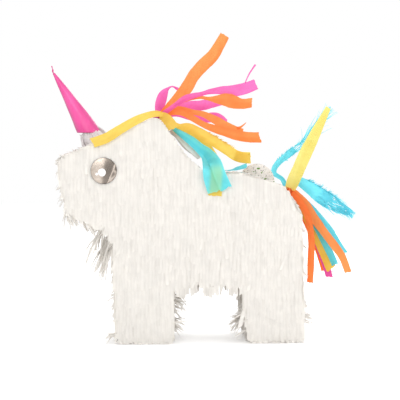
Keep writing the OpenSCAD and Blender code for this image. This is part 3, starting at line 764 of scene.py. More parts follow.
def sole(node):
    """The tissue under a foot: a slightly crumpled sheet, with cut ends that splay round it."""
    low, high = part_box(node)
    inset = 4 * MM
    batch = Batch()
    nx, ny = 20, 26
    x = np.linspace(low.x + inset, high.x - inset, nx)
    y = np.linspace(low.y, high.y, ny)
    gx, gy = np.meshgrid(x, y, indexing="ij")
    gz = FLOOR_Z + rng.uniform(0, 0.8 * MM, gx.shape)
    # the sheet under the foot is toned darker: painted shade
    batch.grid(np.stack([gx, gy, gz], axis=2)[None], rng.uniform(0.6, 0.8, (1, nx, ny)))
    cx, cy = (low.x + high.x) / 2, (low.y + high.y) / 2
    hx, hy = (high.x - low.x) / 2 - inset, (high.y - low.y) / 2
    around = 2 * (2 * hx + 2 * hy)
    n = int(around / (STRAND_W * 0.8))
    roots, ways = [], []
    for i in range(n):
        d = (i + rng.uniform(0, 0.6)) / n * around % around
        if d < 2 * hx:
            root, way = (cx - hx + d, cy - hy), (0, -1)
        elif d < 2 * hx + 2 * hy:
            root, way = (cx + hx, cy - hy + d - 2 * hx), (1, 0)
        elif d < 4 * hx + 2 * hy:
            root, way = (cx + hx - (d - 2 * hx - 2 * hy), cy + hy), (0, 1)
        else:
            root, way = (cx - hx, cy + hy - (d - 4 * hx - 2 * hy)), (-1, 0)
        roots.append(root)
        ways.append(way)
    roots, ways = np.array(roots), np.array(ways, float)
    s = np.linspace(0, 1, STRAND_ROWS)[None, :, None]
    length = rng.uniform(5, 12, n)[:, None, None] * MM
    turn = rng.normal(0, 0.5, n)
    ways = np.stack([ways[:, 0] * np.cos(turn) - ways[:, 1] * np.sin(turn),
                     ways[:, 0] * np.sin(turn) + ways[:, 1] * np.cos(turn)], axis=1)
    flat = roots[:, None, :] - ways[:, None, :] * 3 * MM + ways[:, None, :] * (length + 3 * MM) * s
    height = FLOOR_Z + 1.2 * MM + rng.uniform(0, 5, n)[:, None] * MM * (s[..., 0] * (1 - s[..., 0]) * 2)
    centre = np.concatenate([flat, height[..., None]], axis=2)
    side = np.stack([-ways[:, 1], ways[:, 0], 0 * ways[:, 0]], axis=1)
    side = on_each_row(side)
    out = np.broadcast_to(UP, centre.shape)
    width = on_each_row(STRAND_W * rng.uniform(0.4, 0.8, n))
    # painted shade: the cut ends round the foot are toned darker, with random tone
    shade = np.clip(0.75 + rng.normal(0, 0.12, n)[:, None] + 0 * s[..., 0], 0, 1)
    strands(batch, centre, side, out, width, shade)
    made = batch.piece(f"{node}_sheet", WHITE_TISSUE, node, "white_tissue")
    flat = (high.x - low.x + 2 * TURNED_UP, high.y - low.y + 2 * TURNED_UP)


sole("front_sole_tissue")
sole("rear_sole_tissue")

# ---------------------------------------------------------------- streamers

# Routes, root first: (x, y, z, width, turn of the flat face), in millimetres and degrees
ROUTES = {
    "yellow_forelock": [
        (-56, -43, 299, 6, 0), (-64, -44.5, 300.5, 8, 0), (-76, -46.5, 298, 9, 0),
        (-92, -49, 291, 11, 0), (-112, -49, 279.5, 12, 0), (-129, -49, 269, 13, 0),
        (-147, -49, 262.5, 13, 0)],
    "yellow_short": [
        (-58, -41.5, 299, 10, 0), (-50, -41.5, 292.5, 14, 0), (-42, -41.5, 281.5, 14, 0)],
    "yellow_long": [
        (-54, -18.5, 300, 6, 40), (-46, -18.5, 292, 6, 30), (-35, -18.5, 284.8, 7, 0),
        (-22, -18.5, 283, 12, 0), (-8, -18.5, 276, 14, 0), (12, -19, 264.5, 14, 10),
        (29, -20, 253.7, 14, 10), (44, -21, 244.6, 14, 0), (60, -22, 242, 13, -15)],
    "turquoise_front": [
        (-55, -13.5, 298, 4, 0), (-47, -13.5, 287, 4, 0), (-38, -13.5, 278.5, 5, 0),
        (-27, -13.5, 271, 8, 0), (-17.5, -13.5, 264, 10, 0), (-8, -13.5, 255.5, 11, 0),
        (0.5, -15, 246, 12, 0), (3, -29, 239, 14, 0), (3.5, -46.5, 231, 16, 0),
        (5, -50, 217, 17, 0), (11, -50, 199, 18, 0)],
    "turquoise_rear": [
        (-53, -16, 299, 4, 0), (-45, -16, 288.5, 4, 0), (-36.5, -16, 279.5, 5, 0),
        (-25.5, -16, 272, 8, 0), (-16, -16, 265.5, 10, 0), (-6, -16, 257, 11, 0),
        (3.5, -17.5, 250, 13, 0), (8.5, -30, 243.5, 15, 0), (12.5, -48.4, 235.5, 16, 0),
        (18, -51.2, 220, 16, 0), (25.5, -51.2, 203.5, 16, 0)],
    "pink_loop": [
        (-58, 22, 301, 11, 0), (-59, 22, 311, 13, 0), (-56.6, 22, 321.5, 14, 5),
        (-53.1, 22.5, 330, 12, 25), (-48.5, 23.5, 336, 8, 50), (-41.5, 24.5, 339, 6, 60),
        (-32.6, 25.5, 335.1, 6, 35), (-25.3, 26, 331.5, 7, 20), (-19, 27, 328.3, 7, 0)],
    "pink_thin": [
        (-55, -38.5, 301, 6, 0), (-39, -38.5, 312.5, 6, 0), (-26, -38.5, 321, 8, 0),
        (-8, -38.5, 326, 6.5, 20), (7.5, -35, 330, 7.5, 15), (22, -32, 331.5, 11, 10),
        (36.5, -31, 331, 15, 0), (53, -30, 334.5, 15, 0), (67, -29, 340, 14, 0)],
    "pink_wide": [
        (-53, 16, 300, 6, 0), (-41, 16, 307, 7, 0), (-21.5, 16.5, 314, 10, 0),
        (-4.6, 17.5, 313.4, 14, 10), (12.4, 18.5, 317.6, 14, 0), (27, 19.5, 322, 14, 0),
        (38, 20, 325, 11, 0)],
    "pink_short": [
        (-52, 20, 299, 6, 0), (-36, 20, 303, 9, 0), (-17, 21, 299.5, 12, 0), (1, 22, 297, 13, 10),
        (18.7, 23, 297.5, 13, 0), (32.3, 24, 290.5, 7, 0)],
    "orange_tall": [
        (-56, 12, 301, 9, 0), (-46.5, 12, 311.3, 11, 0), (-34.5, 12, 322.8, 15, 0),
        (-22.5, 12.5, 337.4, 17, 10), (-13.2, 13, 353.5, 17, 15), (-0.7, 14, 367.6, 17, 0),
        (12.9, 15, 380.6, 17, -15), (21.2, 16, 394.1, 15, -10), (29, 17, 408.2, 13, 0)],
    "orange_upper": [
        (-57, -35, 301, 5, 0), (-42, -35, 311, 4, 0), (-25, -35, 318.5, 4, 0),
        (-8, -35, 322, 4, 0), (3.5, -35, 320.5, 5, 0), (13.5, -36, 319.5, 10, 0),
        (26.5, -37, 319, 17, 0), (38, -37, 316, 18, 15), (48.5, -36, 314, 15, 25),
        (61, -35, 315.5, 12, 0)],
    "orange_middle": [
        (-56, -28.5, 300, 10, 0), (-47, -28.5, 303, 9, 0), (-31.3, -28.5, 302.5, 8, 0),
        (-16.1, -29, 294.8, 8.5, 0), (-2, -29.5, 286.6, 8, 0), (14, -30, 280.6, 10.5, 5),
        (25.9, -31, 277.3, 12, 5), (41.6, -31.5, 272.8, 13.5, 0), (56.8, -32, 270.2, 13.5, -10),
        (71.5, -33, 270, 14, 0)],
    "orange_lower": [
        (-55, -21, 301, 8, 0), (-43, -21, 307, 8, 0), (-31.1, -21, 306.9, 8, 0),
        (-15.9, -22, 303.3, 7, 0), (-1.7, -22.5, 300.3, 8, 0), (14.4, -23, 292.4, 11, 0),
        (26.3, -24, 285.6, 11.5, 0), (40, -24.5, 280.5, 9, 0), (50.2, -25, 278.4, 6, 0)],
    "back_turquoise": [
        (15, -26, 225.4, 12, 90), (24, -26, 226.3, 13, 90), (37, -26, 227, 13, 80),
        (46, -26, 229.5, 12, 70), (55, -26, 233, 10, 60)],
    "turquoise_curl": [
        (113, 25, 204, 7, 0), (108.5, 25, 213.5, 6, 0), (102, 25, 218, 6, 0), (97, 25, 222, 7, 0),
        (98.5, 25, 230, 8, 20), (107, 26, 239.5, 9, 30), (121, 27, 250.5, 9, 10),
        (137, 28, 262.5, 9, 0), (152, 29, 281, 9, 0), (166, 30, 299, 8, 0), (176, 30, 312, 6, 0)],
    "yellow_upright": [
        (113, -20, 201, 14, 0), (117, -20, 211, 17, 0), (123, -20.5, 224.5, 17, 0),
        (134.8, -21, 251.2, 17, 5), (142, -22, 266, 15.5, 0), (149.2, -23, 281, 13, 0),
        (163.5, -24, 309.5, 7, 0)],
    "turquoise_feather": [
        (114, 8, 202, 9, 0), (125, 8, 212, 11, 0), (141.5, 8.5, 204, 16, 0), (161, 9, 190, 21, 10),
        (180.5, 10, 178, 18, 0), (196, 11, 169.5, 10, 0), (205, 11.5, 164, 5, 0)],
    "orange_long": [
        (114.5, -16, 199.5, 9, 0), (120, -16, 194.5, 12, 0), (134.5, -16, 180, 13, 0),
        (144.5, -16.5, 165, 12, 0), (159.6, -17, 144, 11, 10), (173, -18, 126.3, 11, 0),
        (184, -18.5, 110.7, 10, 0), (192, -19, 90, 9, 0)],
    "turquoise_outer": [
        (115.5, -4, 199, 7, 0), (128, -4, 190, 9, 0), (148, -4, 171, 9, 0), (169, -4.5, 146, 9, 0),
        (181.6, -5, 126, 9, 0), (190, -5, 114, 8, 0)],
    "turquoise_low": [
        (115, -12, 198.5, 7, 0), (128, -12, 184, 9, 0), (139, -12, 169, 9, 0),
        (148, -12, 154.7, 9, 0), (160.3, -12.5, 131.4, 9.5, 10), (169.2, -13, 113.7, 9.5, 0),
        (175.4, -13, 99.4, 9, 0)],
    "yellow_inner": [
        (115.5, -8, 198, 7, 0), (128, -8, 181, 9, 0), (140, -8, 158, 10, 0),
        (151, -8.5, 137.8, 12, 0), (161, -9, 115.6, 13, 0), (171, -9.5, 94, 14, 0)],
    "pink_inner": [
        (115.5, 1, 198, 7, 0), (130, 1, 177, 9, 0), (146, 1, 148.4, 10, 0),
        (156.7, 1.5, 121.5, 10, 0), (165.8, 2, 96.8, 10, 0), (170, 3, 81.5, 9, 0)],
    "orange_red": [
        (115.5, 14, 198, 7, 0), (131, 15, 176, 9, 0), (143, 15.5, 152, 10, 0),
        (152.1, 16, 131.5, 10, 0), (160.1, 16.5, 108.9, 9, 0), (165.6, 17, 88.6, 8, 0)],
    "orange_rump": [
        (115.5, -24, 197.5, 7, 0), (127, -24, 184, 9, 0), (137, -24, 163, 9, 0),
        (141.5, -24, 134, 9, 0), (141, -24, 105, 9, 0), (140, -24, 77, 8, 0)],
    "yellow_under": [
        (-54, -11, 299, 6, 20), (-45, -11, 288, 7, 10), (-36, -11, 279, 9, 0),
        (-22, -11, 273, 12, 0), (-6, -11, 266, 14, 0), (3, -11, 256, 14, 0), (9, -13, 245, 15, 0),
        (12, -28, 236, 16, 0), (13, -45, 228, 17, 0), (13, -48.8, 218, 18, 0),
        (12, -48.8, 206, 18, 0), (11, -48.8, 194, 18, 0)],
    "pink_sliver": [
        (52, -30, 341, 1.5, 0), (57.5, -30, 353, 1.7, 20), (65.8, -30, 365.5, 2.4, 0)],
    "orange_sliver": [
        (42, -25, 282, 4, 0), (47.5, -25.5, 284, 2.6, 0), (54, -25.5, 289.5, 0.8, 0)],
    "yellow_end": [
        (40, -22.2, 246.8, 13.5, 0), (49, -22.4, 243.8, 14.5, 0), (60, -23.2, 243, 15, 0)],
}
STREAMERS = {
    "mane_yellow_forelock": (YELLOW, "yellow_tissue", ["yellow_forelock"]),
    "mane_yellow_short": (YELLOW, "yellow_tissue", ["yellow_short"]),
    "mane_yellow_long": (YELLOW, "yellow_tissue", ["yellow_long", "yellow_end"]),
    "mane_yellow_under": (YELLOW, "yellow_tissue", ["yellow_under"]),
    "mane_turquoise_front": (PALE_TURQUOISE, "turquoise_tissue", ["turquoise_front"]),
    "mane_turquoise_rear": (PALE_TURQUOISE, "turquoise_tissue", ["turquoise_rear"]),
    "mane_pink_loop": (PINK, "pink_tissue", ["pink_loop"]),
    "mane_pink_thin": (PINK, "pink_tissue", ["pink_thin", "pink_sliver"]),
    "mane_pink_wide": (PINK, "pink_tissue", ["pink_wide"]),
    "mane_pink_short": (PINK, "pink_tissue", ["pink_short"]),
    "mane_orange_tall": (ORANGE, "orange_tissue", ["orange_tall"]),
    "mane_orange_upper": (ORANGE, "orange_tissue", ["orange_upper"]),
    "mane_orange_middle": (ORANGE, "orange_tissue", ["orange_middle"]),
    "mane_orange_lower": (ORANGE, "orange_tissue", ["orange_lower", "orange_sliver"]),
    "back_turquoise": (TURQUOISE, "turquoise_tissue", ["back_turquoise"]),
    "tail_turquoise_curl": (TURQUOISE, "turquoise_tissue", ["turquoise_curl"]),
    "tail_yellow_upright": (PALE_YELLOW, "yellow_tissue", ["yellow_upright"]),
    "tail_turquoise_feather": (TURQUOISE, "turquoise_tissue", ["turquoise_feather"]),
    "tail_orange_long": (ORANGE, "orange_tissue", ["orange_long"]),
    "tail_turquoise_inner": (TURQUOISE, "turquoise_tissue", ["turquoise_outer", "turquoise_low"]),
    "tail_yellow_inner": (YELLOW, "yellow_tissue", ["yellow_inner"]),
    "tail_pink_inner": (PINK, "pink_tissue", ["pink_inner"]),
    "tail_orange_short": (ORANGE, "orange_tissue", ["orange_red", "orange_rump"]),
}
# Strips that lie on the near side panel: millimetres that their points there move out, to keep apart
NEAR_LANES = {"yellow_under": -0.6, "turquoise_front": -1.2, "turquoise_rear": -2.2,
              "yellow_forelock": -1.5}
NEAR_PANEL_Y = -43 * MM  # points beyond this lie on the near side panel
# Share of the route at which a strip's sheet ends, where only its torn threads go on
SHREDDED_FROM = {"turquoise_curl": 0.50, "turquoise_feather": 0.64}
# Strips deep in a bunch get painted shade: what is left of their shade
BUNCH_SHADE = {"turquoise_low": 0.45, "turquoise_outer": 0.6, "yellow_inner": 0.6, "pink_inner": 0.5,
           "orange_red": 0.35, "orange_rump": 0.6, "orange_middle": 0.85}
STEP = 2.2 * MM  # length of a streamer's quads
COLUMNS = 9


def smooth_route(name):
    """A Catmull-Rom curve through the route's points, in metres and radians."""
    p = np.array(ROUTES[name], float) * [MM, MM, MM, MM, math.pi / 180]
    outer = p[:, 1] < NEAR_PANEL_Y
    p[outer, 1] += NEAR_LANES.get(name, 0.0) * MM
    out = []
    for i in range(len(p) - 1):
        a, b, c, d = p[max(i - 1, 0)], p[i], p[i + 1], p[min(i + 2, len(p) - 1)]
        steps = max(2, round(np.linalg.norm((c - b)[:3]) / STEP))
        for u in np.arange(steps)[:, None] / steps:
            out.append(0.5 * (2 * b + (c - a) * u + (2 * a - 5 * b + 4 * c - d) * u * u
                              + (3 * b - a - 3 * c + d) * u ** 3))
    out.append(p[-1])
    return np.array(out)


def faces_of(p):
    """Directions along, across and out of the strip at each of its rows."""
    tangent = unit(np.gradient(p[:, :3], axis=0))
    flat_side = unit(np.cross(tangent, ACROSS))
    up = np.cross(flat_side, tangent)
    turn = p[:, 4:5]
    side = flat_side * np.cos(turn) + up * np.sin(turn)
    return tangent, side, np.cross(side, tangent)


def strip(batch, name, crumple=0.5 * MM, cup=0.08):
    """A crumpled strip of tissue along a route, with painted shade near its root and in its crumples, and
    a painted band of deeper tone down one side.
    """
    p = smooth_route(name)
    p = p[:int(len(p) * SHREDDED_FROM.get(name, 1.0))]
    place, width = p[:, :3], p[:, 3]
    tangent, side, face = faces_of(p)
    along = np.concatenate([[0], np.cumsum(np.linalg.norm(np.diff(place, axis=0), axis=1))])
    c = np.linspace(-0.5, 0.5, COLUMNS)[None, :]
    a = along[:, None]
    wave = np.zeros((len(p), COLUMNS))
    for wavelength, share in ((37 * MM, 0.9), (19 * MM, 0.6), (9 * MM, 0.3), (5.5 * MM, 0.15)):
        slant, phase = rng.normal(0, 0.8), rng.uniform(0, 2 * math.pi)
        wave += share * np.sin(2 * math.pi * a / wavelength + slant * 2 * math.pi * c + phase)
    pleat = rng.uniform(-0.3, 0.3)
    wave += 0.5 * np.exp(-((c - pleat) / 0.07) ** 2) * np.sin(a / (50 * MM) + rng.uniform(0, 6))
    wave += rng.normal(0, 0.06, wave.shape)
    free = np.clip(a / (20 * MM), 0.1, 1)
    bulge = cup * width[:, None] * (c ** 2 * 4 - 0.5) * np.sin(a / (60 * MM) + rng.uniform(0, 6))
    if name in NEAR_LANES:
        bulge = bulge * 0.2
        wave = wave * 0.5
    band_edge = rng.uniform(-0.5, 0.2) + 0.28 * np.sin(a / (34 * MM) + rng.uniform(0, 6))
    band = 1 / (1 + np.exp((c - band_edge) / 0.05))
    ragged = 1 + rng.normal(0, 0.01, (len(p), 1))
    points = (place[:, None, :] + side[:, None, :] * (c * width[:, None] * ragged)[..., None]
              + face[:, None, :] * (wave * crumple * free + bulge * free)[..., None])
    slant = c[0] * rng.uniform(-0.35, 0.35) + rng.normal(0, 0.03, COLUMNS)
    points[-1] += tangent[-1] * (slant * width[-1])[:, None]
    # Painted shade: darker towards the root (free) and in the crumples (wave); band is the painted band of
    # deeper tone.
    shade = np.clip(0.70 + 0.28 * free + 0.07 * wave - 0.30 * band, 0, 1)
    batch.grid(points[None], shade[None] * BUNCH_SHADE.get(name, 1.0))
    batch.flat_length = max(batch.flat_length, along[-1])


def torn_edge(batch, name, edge, share, reach, count):
    """Fine torn fibres along one edge (-1 or 1) of a strip, over a share (from, to) of it."""
    p = smooth_route(name)
    tangent, side, _ = faces_of(p)
    i = (rng.uniform(*share, count) * (len(p) - 1)).astype(int)
    root = p[i, :3] + side[i] * (edge * 0.46 * p[i, 3])[:, None]
    way = unit(side[i] * edge * rng.uniform(0.2, 1.0, count)[:, None]
               + tangent[i] * rng.uniform(0.3, 1.2, count)[:, None] + rng.normal(0, 0.2, (count, 3)))
    spray(batch, root, way, (0.25 * reach, reach), (0.5 * MM, 1.3 * MM), (0, 0.2), 0.95, 0.1)


def shreds(batch, name, share, count, spread, thin):
    """Long torn threads that carry a strip's shape on past where it comes apart."""
    p = smooth_route(name)
    rows = 9
    start = rng.uniform(share[0], share[1] - 0.12, count)
    end = np.minimum(start + rng.uniform(0.08, 0.35, count), 1.0)
    s = np.linspace(0, 1, rows)
    at = (start[:, None] + (end - start)[:, None] * s) * (len(p) - 1)
    read = np.stack([np.interp(at, np.arange(len(p)), p[:, k]) for k in range(5)], axis=-1)
    _, side, face = faces_of(p)
    i = at.astype(int)
    lane = rng.uniform(-0.5, 0.5, count)[:, None]
    drift = rng.normal(0, spread, count)[:, None] * s ** 1.5
    wide = read[..., 3] * lane + drift + 0.6 * MM * np.sin(at / 3 + 9 * lane)
    off = (rng.normal(0, 1.2 * MM, count)[:, None] * s)[..., None]
    centre = read[..., :3] + side[i] * wide[..., None] + face[i] * off
    width = rng.uniform(*thin, count)[:, None] * (1 - 0.7 * s)
    tone = np.clip(0.9 + rng.normal(0, 0.1, count)[:, None] + 0 * s, 0, 1)
    strands(batch, centre, side[i], face[i], width, tone, cup=0.2, skew=1.0)


TORN = {
    "tail_turquoise_curl": [("turquoise_curl", 1, (0.3, 0.50), 5 * MM, 30),
                            ("turquoise_curl", -1, (0.35, 0.50), 4 * MM, 16)],
    "tail_turquoise_feather": [("turquoise_feather", 1, (0.25, 0.66), 7 * MM, 130)],
    "mane_yellow_long": [("yellow_long", 1, (0.50, 0.80), 5 * MM, 90)],
    "tail_pink_inner": [("pink_inner", 1, (0.75, 1.0), 5 * MM, 30)],
    "tail_orange_short": [("orange_red", 1, (0.6, 1.0), 5 * MM, 40)],
}
THREADS = {
    "tail_turquoise_curl": [("turquoise_curl", (0.40, 1.0), 80, 6.0 * MM, (0.5 * MM, 1.3 * MM))],
    "tail_turquoise_feather": [("turquoise_feather", (0.46, 1.0), 130, 3.5 * MM, (0.6 * MM, 1.7 * MM))],
}


def mark_over(piece, name):
    """Marks where a strip lies over another, to be painted as if that one showed through."""
    p = smooth_route(name)
    mesh = piece.data
    co = np.zeros(len(mesh.vertices) * 3)
    mesh.vertices.foreach_get("co", co)
    x, z = co.reshape(-1, 3)[:, 0], co.reshape(-1, 3)[:, 2]
    order = np.argsort(p[:, 2])
    centre = np.interp(z, p[order, 2], p[order, 0])
    near = 1 / (1 + np.exp((np.abs(x - centre) - 0.40 * p[-1, 3]) / (0.6 * MM)))
    hanging = 1 / (1 + np.exp((z - 233 * MM) / (2 * MM)))
    mesh.attributes.new("over", "FLOAT", "POINT").data.foreach_set(
        "value", (0.75 * near * hanging).astype(np.float32))


def make_streamers():
    for node, (material, slot, names) in STREAMERS.items():
        batch = Batch()
        for name in names:
            strip(batch, name)
        made = batch.piece(f"{node}_strip", material, node, slot)
        if material is PALE_TURQUOISE:
            mark_over(made, "yellow_under")
        batch.declare(made)
        if node in TORN or node in THREADS:
            frayed = Batch()
            for torn in TORN.get(node, []):
                torn_edge(frayed, *torn)
            for thread in THREADS.get(node, []):
                shreds(frayed, *thread)
            made = frayed.piece(f"{node}_fray", material, node, slot)
            frayed.declare(made)


make_streamers()

# ---------------------------------------------------------------- horn


def horn_frame():
    """Base centre, axis, two side directions and base radius of the horn, from its CAD mesh."""
    mesh = frame["nodes"]["horn"].data
    co = np.array([v.co[:] for v in mesh.vertices])
    tip = co[co[:, 2] > co[:, 2].max() - 0.6 * MM].mean(0)
    far = np.linalg.norm(co - tip, axis=1)
    rim = co[far > far.max() - 5 * MM]
    base = (rim.min(0) + rim.max(0)) / 2
    axis = unit(tip - base)
    radius = np.linalg.norm(np.cross(rim - base, axis), axis=1).max()
    u = unit(np.cross(axis, ACROSS))
    return base, tip, axis, u, np.cross(axis, u), radius


HORN_SHADIEST = 0.1  # angle about the horn's axis, in radians, where its painted shade is deepest


def make_horn():
    """A sheet rolled into a cone, with its lap down one side and its tip twisted to a point."""
    base, tip, axis, u, v, radius = horn_frame()
    curl = 9 * MM  # length of the twisted point
    length = np.linalg.norm(tip - base) - curl
    rows, around, turns = 56, 90, 1.3
    s = np.linspace(0, 1, rows)[:, None]
    j = np.linspace(0, 1, around)[None, :]
    angle = 2 * math.pi * turns * j + 2.2 + s * 0.9
    inner = 1 - 0.07 * (1 - j)
    body = radius * ((1 - s) ** 0.88) + 1.3 * MM
    dent = (1 + 0.05 * np.exp(-((angle % (2 * math.pi) - 4.6) / 0.25) ** 2) * (1 - s)
            - 0.045 * np.exp(-((angle % (2 * math.pi) - 3.9) / 0.35) ** 2)
            + 0.018 * np.sin(2 * angle + 7 * s) + 0.010 * np.sin(5 * angle + 16 * s))
    r = body * inner * dent
    around3 = u * np.cos(angle)[..., None] + v * np.sin(angle)[..., None]
    # the foot of the cone is cut level, with a corner of the sheet hanging lower
    level = -(around3[..., 2] * r) / axis[2] * (1 - s) ** 3
    corner = -4 * MM * np.exp(-((j - 0.93) / 0.05) ** 2) * (1 - s) ** 6
    points = base + around3 * r[..., None] + axis * (length * s + level + corner)[..., None]
    # Painted shade: darker along the laps of the sheet, in a band down one side and a fainter band further
    # round, and towards the tip.
    lap = np.exp(-((j - 1.0) / 0.02) ** 2) + 0.6 * np.exp(-((j - (1 - 1 / turns)) / 0.012) ** 2)
    turned = np.angle(np.exp(1j * (angle - HORN_SHADIEST)))
    side_shade = np.exp(-(turned / 0.55) ** 2) + 0.35 * np.exp(-(np.abs(turned - 2.4) / 0.35) ** 2)
    shade = 1 - 0.5 * lap * (1 - 0.5 * s) - 0.55 * side_shade - 0.2 * s ** 3
    batch = Batch()
    batch.flat_length = length
    batch.grid(points[None], np.clip(shade, 0, 1)[None])
    # the twisted point of the sheet
    rows = 22
    s = np.linspace(0, 1, rows)[:, None]
    top = points[-1].mean(0)
    bend = axis * (1 - s) + unit(axis + 0.75 * UP) * s
    spine = top - axis * 2 * MM + bend * (curl + 3 * MM) * s
    twist = s * 7.0
    across = u * np.cos(twist) + v * np.sin(twist)
    w = (1.6 * MM + 1.6 * MM * (1 - s)) * (1 - 0.35 * s)
    c = np.linspace(-0.5, 0.5, 4)[None, :]
    fold = np.cross(across, axis)
    net = (spine[:, None, :] + across[:, None, :] * (c * w)[..., None]
           + fold[:, None, :] * ((c ** 2) * w * 1.6)[..., None])
    batch.grid(net[None], np.full((1, rows, 4), 0.75))
    made = batch.piece("horn_roll", HORN_PAPER, "horn", "horn_paper")
    solid = made.modifiers.new("paper thickness", "SOLIDIFY")
    solid.thickness = 0.3 * MM
    batch.declare(made)


make_horn()


def make_collar():
    """Bunched tissue round the foot of the horn, with loose threads at its front."""
    base, _, axis, u, v, radius = horn_frame()
    batch = Batch()
    n = 400
    angle = rng.uniform(0, 2 * math.pi, n)
    out = u * np.cos(angle)[:, None] + v * np.sin(angle)[:, None]
    depth = rng.uniform(12, 26, n) * MM
    swell = radius * rng.uniform(0.8, 1.15, n) + depth * 0.15
    start = base - axis * depth[:, None] + out * swell[:, None]
    goal = (base + out * (radius * rng.uniform(0.55, 0.97, n))[:, None]
            + axis * (rng.uniform(-3, 3, n) * MM)[:, None])
    s = np.linspace(0, 1, STRAND_ROWS)
    bow = out * (rng.normal(1.0, 1.2, n) * MM)[:, None] + ACROSS * (rng.normal(0, 1.2, n) * MM)[:, None]
    side = on_each_row(np.cross(np.broadcast_to(axis, out.shape), out))
    width = on_each_row(rng.uniform(3, 7, n) * MM)
    # painted shade: strands darker at their lower ends, deep in the bunch, with random tone
    shade = np.clip(0.75 + 0.1 * s + rng.normal(0, 0.2, n)[:, None], 0, 1)
    strands(batch, bowed(start, goal, bow), side, on_each_row(out), width, shade, cup=0.22)
    count = 90
    turn = rng.uniform(-1.3, 1.3, count)
    out = u * np.cos(turn)[:, None] + v * np.sin(turn)[:, None]
    root = base - axis * (rng.uniform(10, 24, count) * MM)[:, None] + out * (radius * 1.05)
    spray(batch, root, unit(out + 0.3 * axis - 0.2 * UP), (4 * MM, 9 * MM), (0.6 * MM, 1.6 * MM), (0, 0.5))
    made = batch.piece("horn_collar_bunch", COLLAR_TISSUE, "horn_collar", "collar_tissue")
    batch.declare(made)


make_collar()

# ---------------------------------------------------------------- glued bunches


def bunch(node, material, slot, y_from, stand):
    """A knot of gathered strip ends in the place of a root block."""
    low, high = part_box(node)
    batch = Batch()
    n = 90
    y = rng.uniform(max(low.y, y_from), high.y, n)
    cx = (low.x + high.x) / 2
    start = np.stack([cx + rng.normal(0, 2.0 * MM, n), y, np.full(n, low.z + 3 * MM)], axis=1)
    goal = np.stack([cx + rng.normal(0, 3.0 * MM, n), y + rng.normal(0, 3 * MM, n),
                     high.z - stand + rng.uniform(-3, 1, n) * MM], axis=1)
    bow = np.stack([rng.normal(0, 2.5 * MM, n), rng.normal(0, 1.5 * MM, n), 0 * y], axis=1)
    centre = bowed(start, goal, bow)
    side = np.broadcast_to(ACROSS, centre.shape)
    way = unit(goal - start)
    out = on_each_row(unit(np.cross(way, ACROSS)))
    width = on_each_row(rng.uniform(4, 9, n) * MM)
    shade = on_each_row(rng.uniform(0.3, 1, n))
    strands(batch, centre, side, out, width, shade, cup=0.3)
    made = batch.piece(f"{node}_bunch", material, node, slot)
    batch.declare(made)


bunch("mane_root", PINK, "pink_tissue", -36 * MM, 2 * MM)
bunch("tail_root", ORANGE, "orange_tissue", -26 * MM, 0.0)

# ---------------------------------------------------------------- ribbon loop


def make_loop():
    """A flattened loop of ribbon standing on edge along the neck, glued down at its front end."""
    low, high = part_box("hang_loop")
    hinge = next(j for j in frame["joints"] if j["name"] == "loop_hinge")
    pivot = np.array(hinge["pos_m"], float)
    far = np.array([high.x, 0.0, low.z])
    way = unit(far - pivot)
    up = unit(np.cross(way, ACROSS))
    up = up if up[2] > 0 else -up
    ribbon_w = 7 * MM
    half = (high.y - low.y) / 2 - 0.5 * MM
    length = np.linalg.norm(far - pivot) - ribbon_w * 0.6
    count = 150
    a = np.linspace(0, 1, count)
    # once round: out along one side, round the far bow, back along the other
    angle = 2 * math.pi * a
    s = (1 - np.cos(angle)) / 2
    flat = np.sign(np.sin(angle)) * np.abs(np.sin(angle)) ** 0.45
    wobble = 1 + 0.10 * np.sin(5 * angle) * np.sin(angle) ** 2
    y = half * flat * wobble * (1 - 0.25 * np.exp(-(s / 0.12) ** 2))
    rise = 0.9 * MM * np.sin(2.3 * math.pi * s + 0.5) + 0.5 * MM * np.sin(3 * angle)
    spine = pivot + way * (length * s + 1 * MM)[:, None] + ACROSS * y[:, None] + up * rise[:, None]
    tangent = unit(np.gradient(spine, axis=0))
    lean = 0.16 * np.sin(3 * angle + 0.7)
    across = unit(up + np.cross(tangent, up) * lean[:, None])
    c = np.linspace(-0.5, 0.5, 7)
    cup = np.cross(tangent, across) * 0.35 * MM
    net = (spine[:, None, :] + across[:, None, :] * (c * ribbon_w)[None, :, None]
           + cup[:, None, :] * (4 * c ** 2)[None, :, None])
    # the ribbon's colour is greyer along both its edges
    shade = 0.95 - 0.5 * np.exp(-((np.abs(c) - 0.5) / 0.06) ** 2)
    batch = Batch()
    batch.grid(net[None], np.broadcast_to(shade, (1, count, 7)).copy())
    made = batch.piece("ribbon_loop", RIBBON, "hang_loop", "ribbon", body="loop")
    solid = made.modifiers.new("ribbon thickness", "SOLIDIFY")
    solid.thickness = 0.4 * MM


make_loop()

# ---------------------------------------------------------------- eyes

EYE_DOME = 0.9 * MM


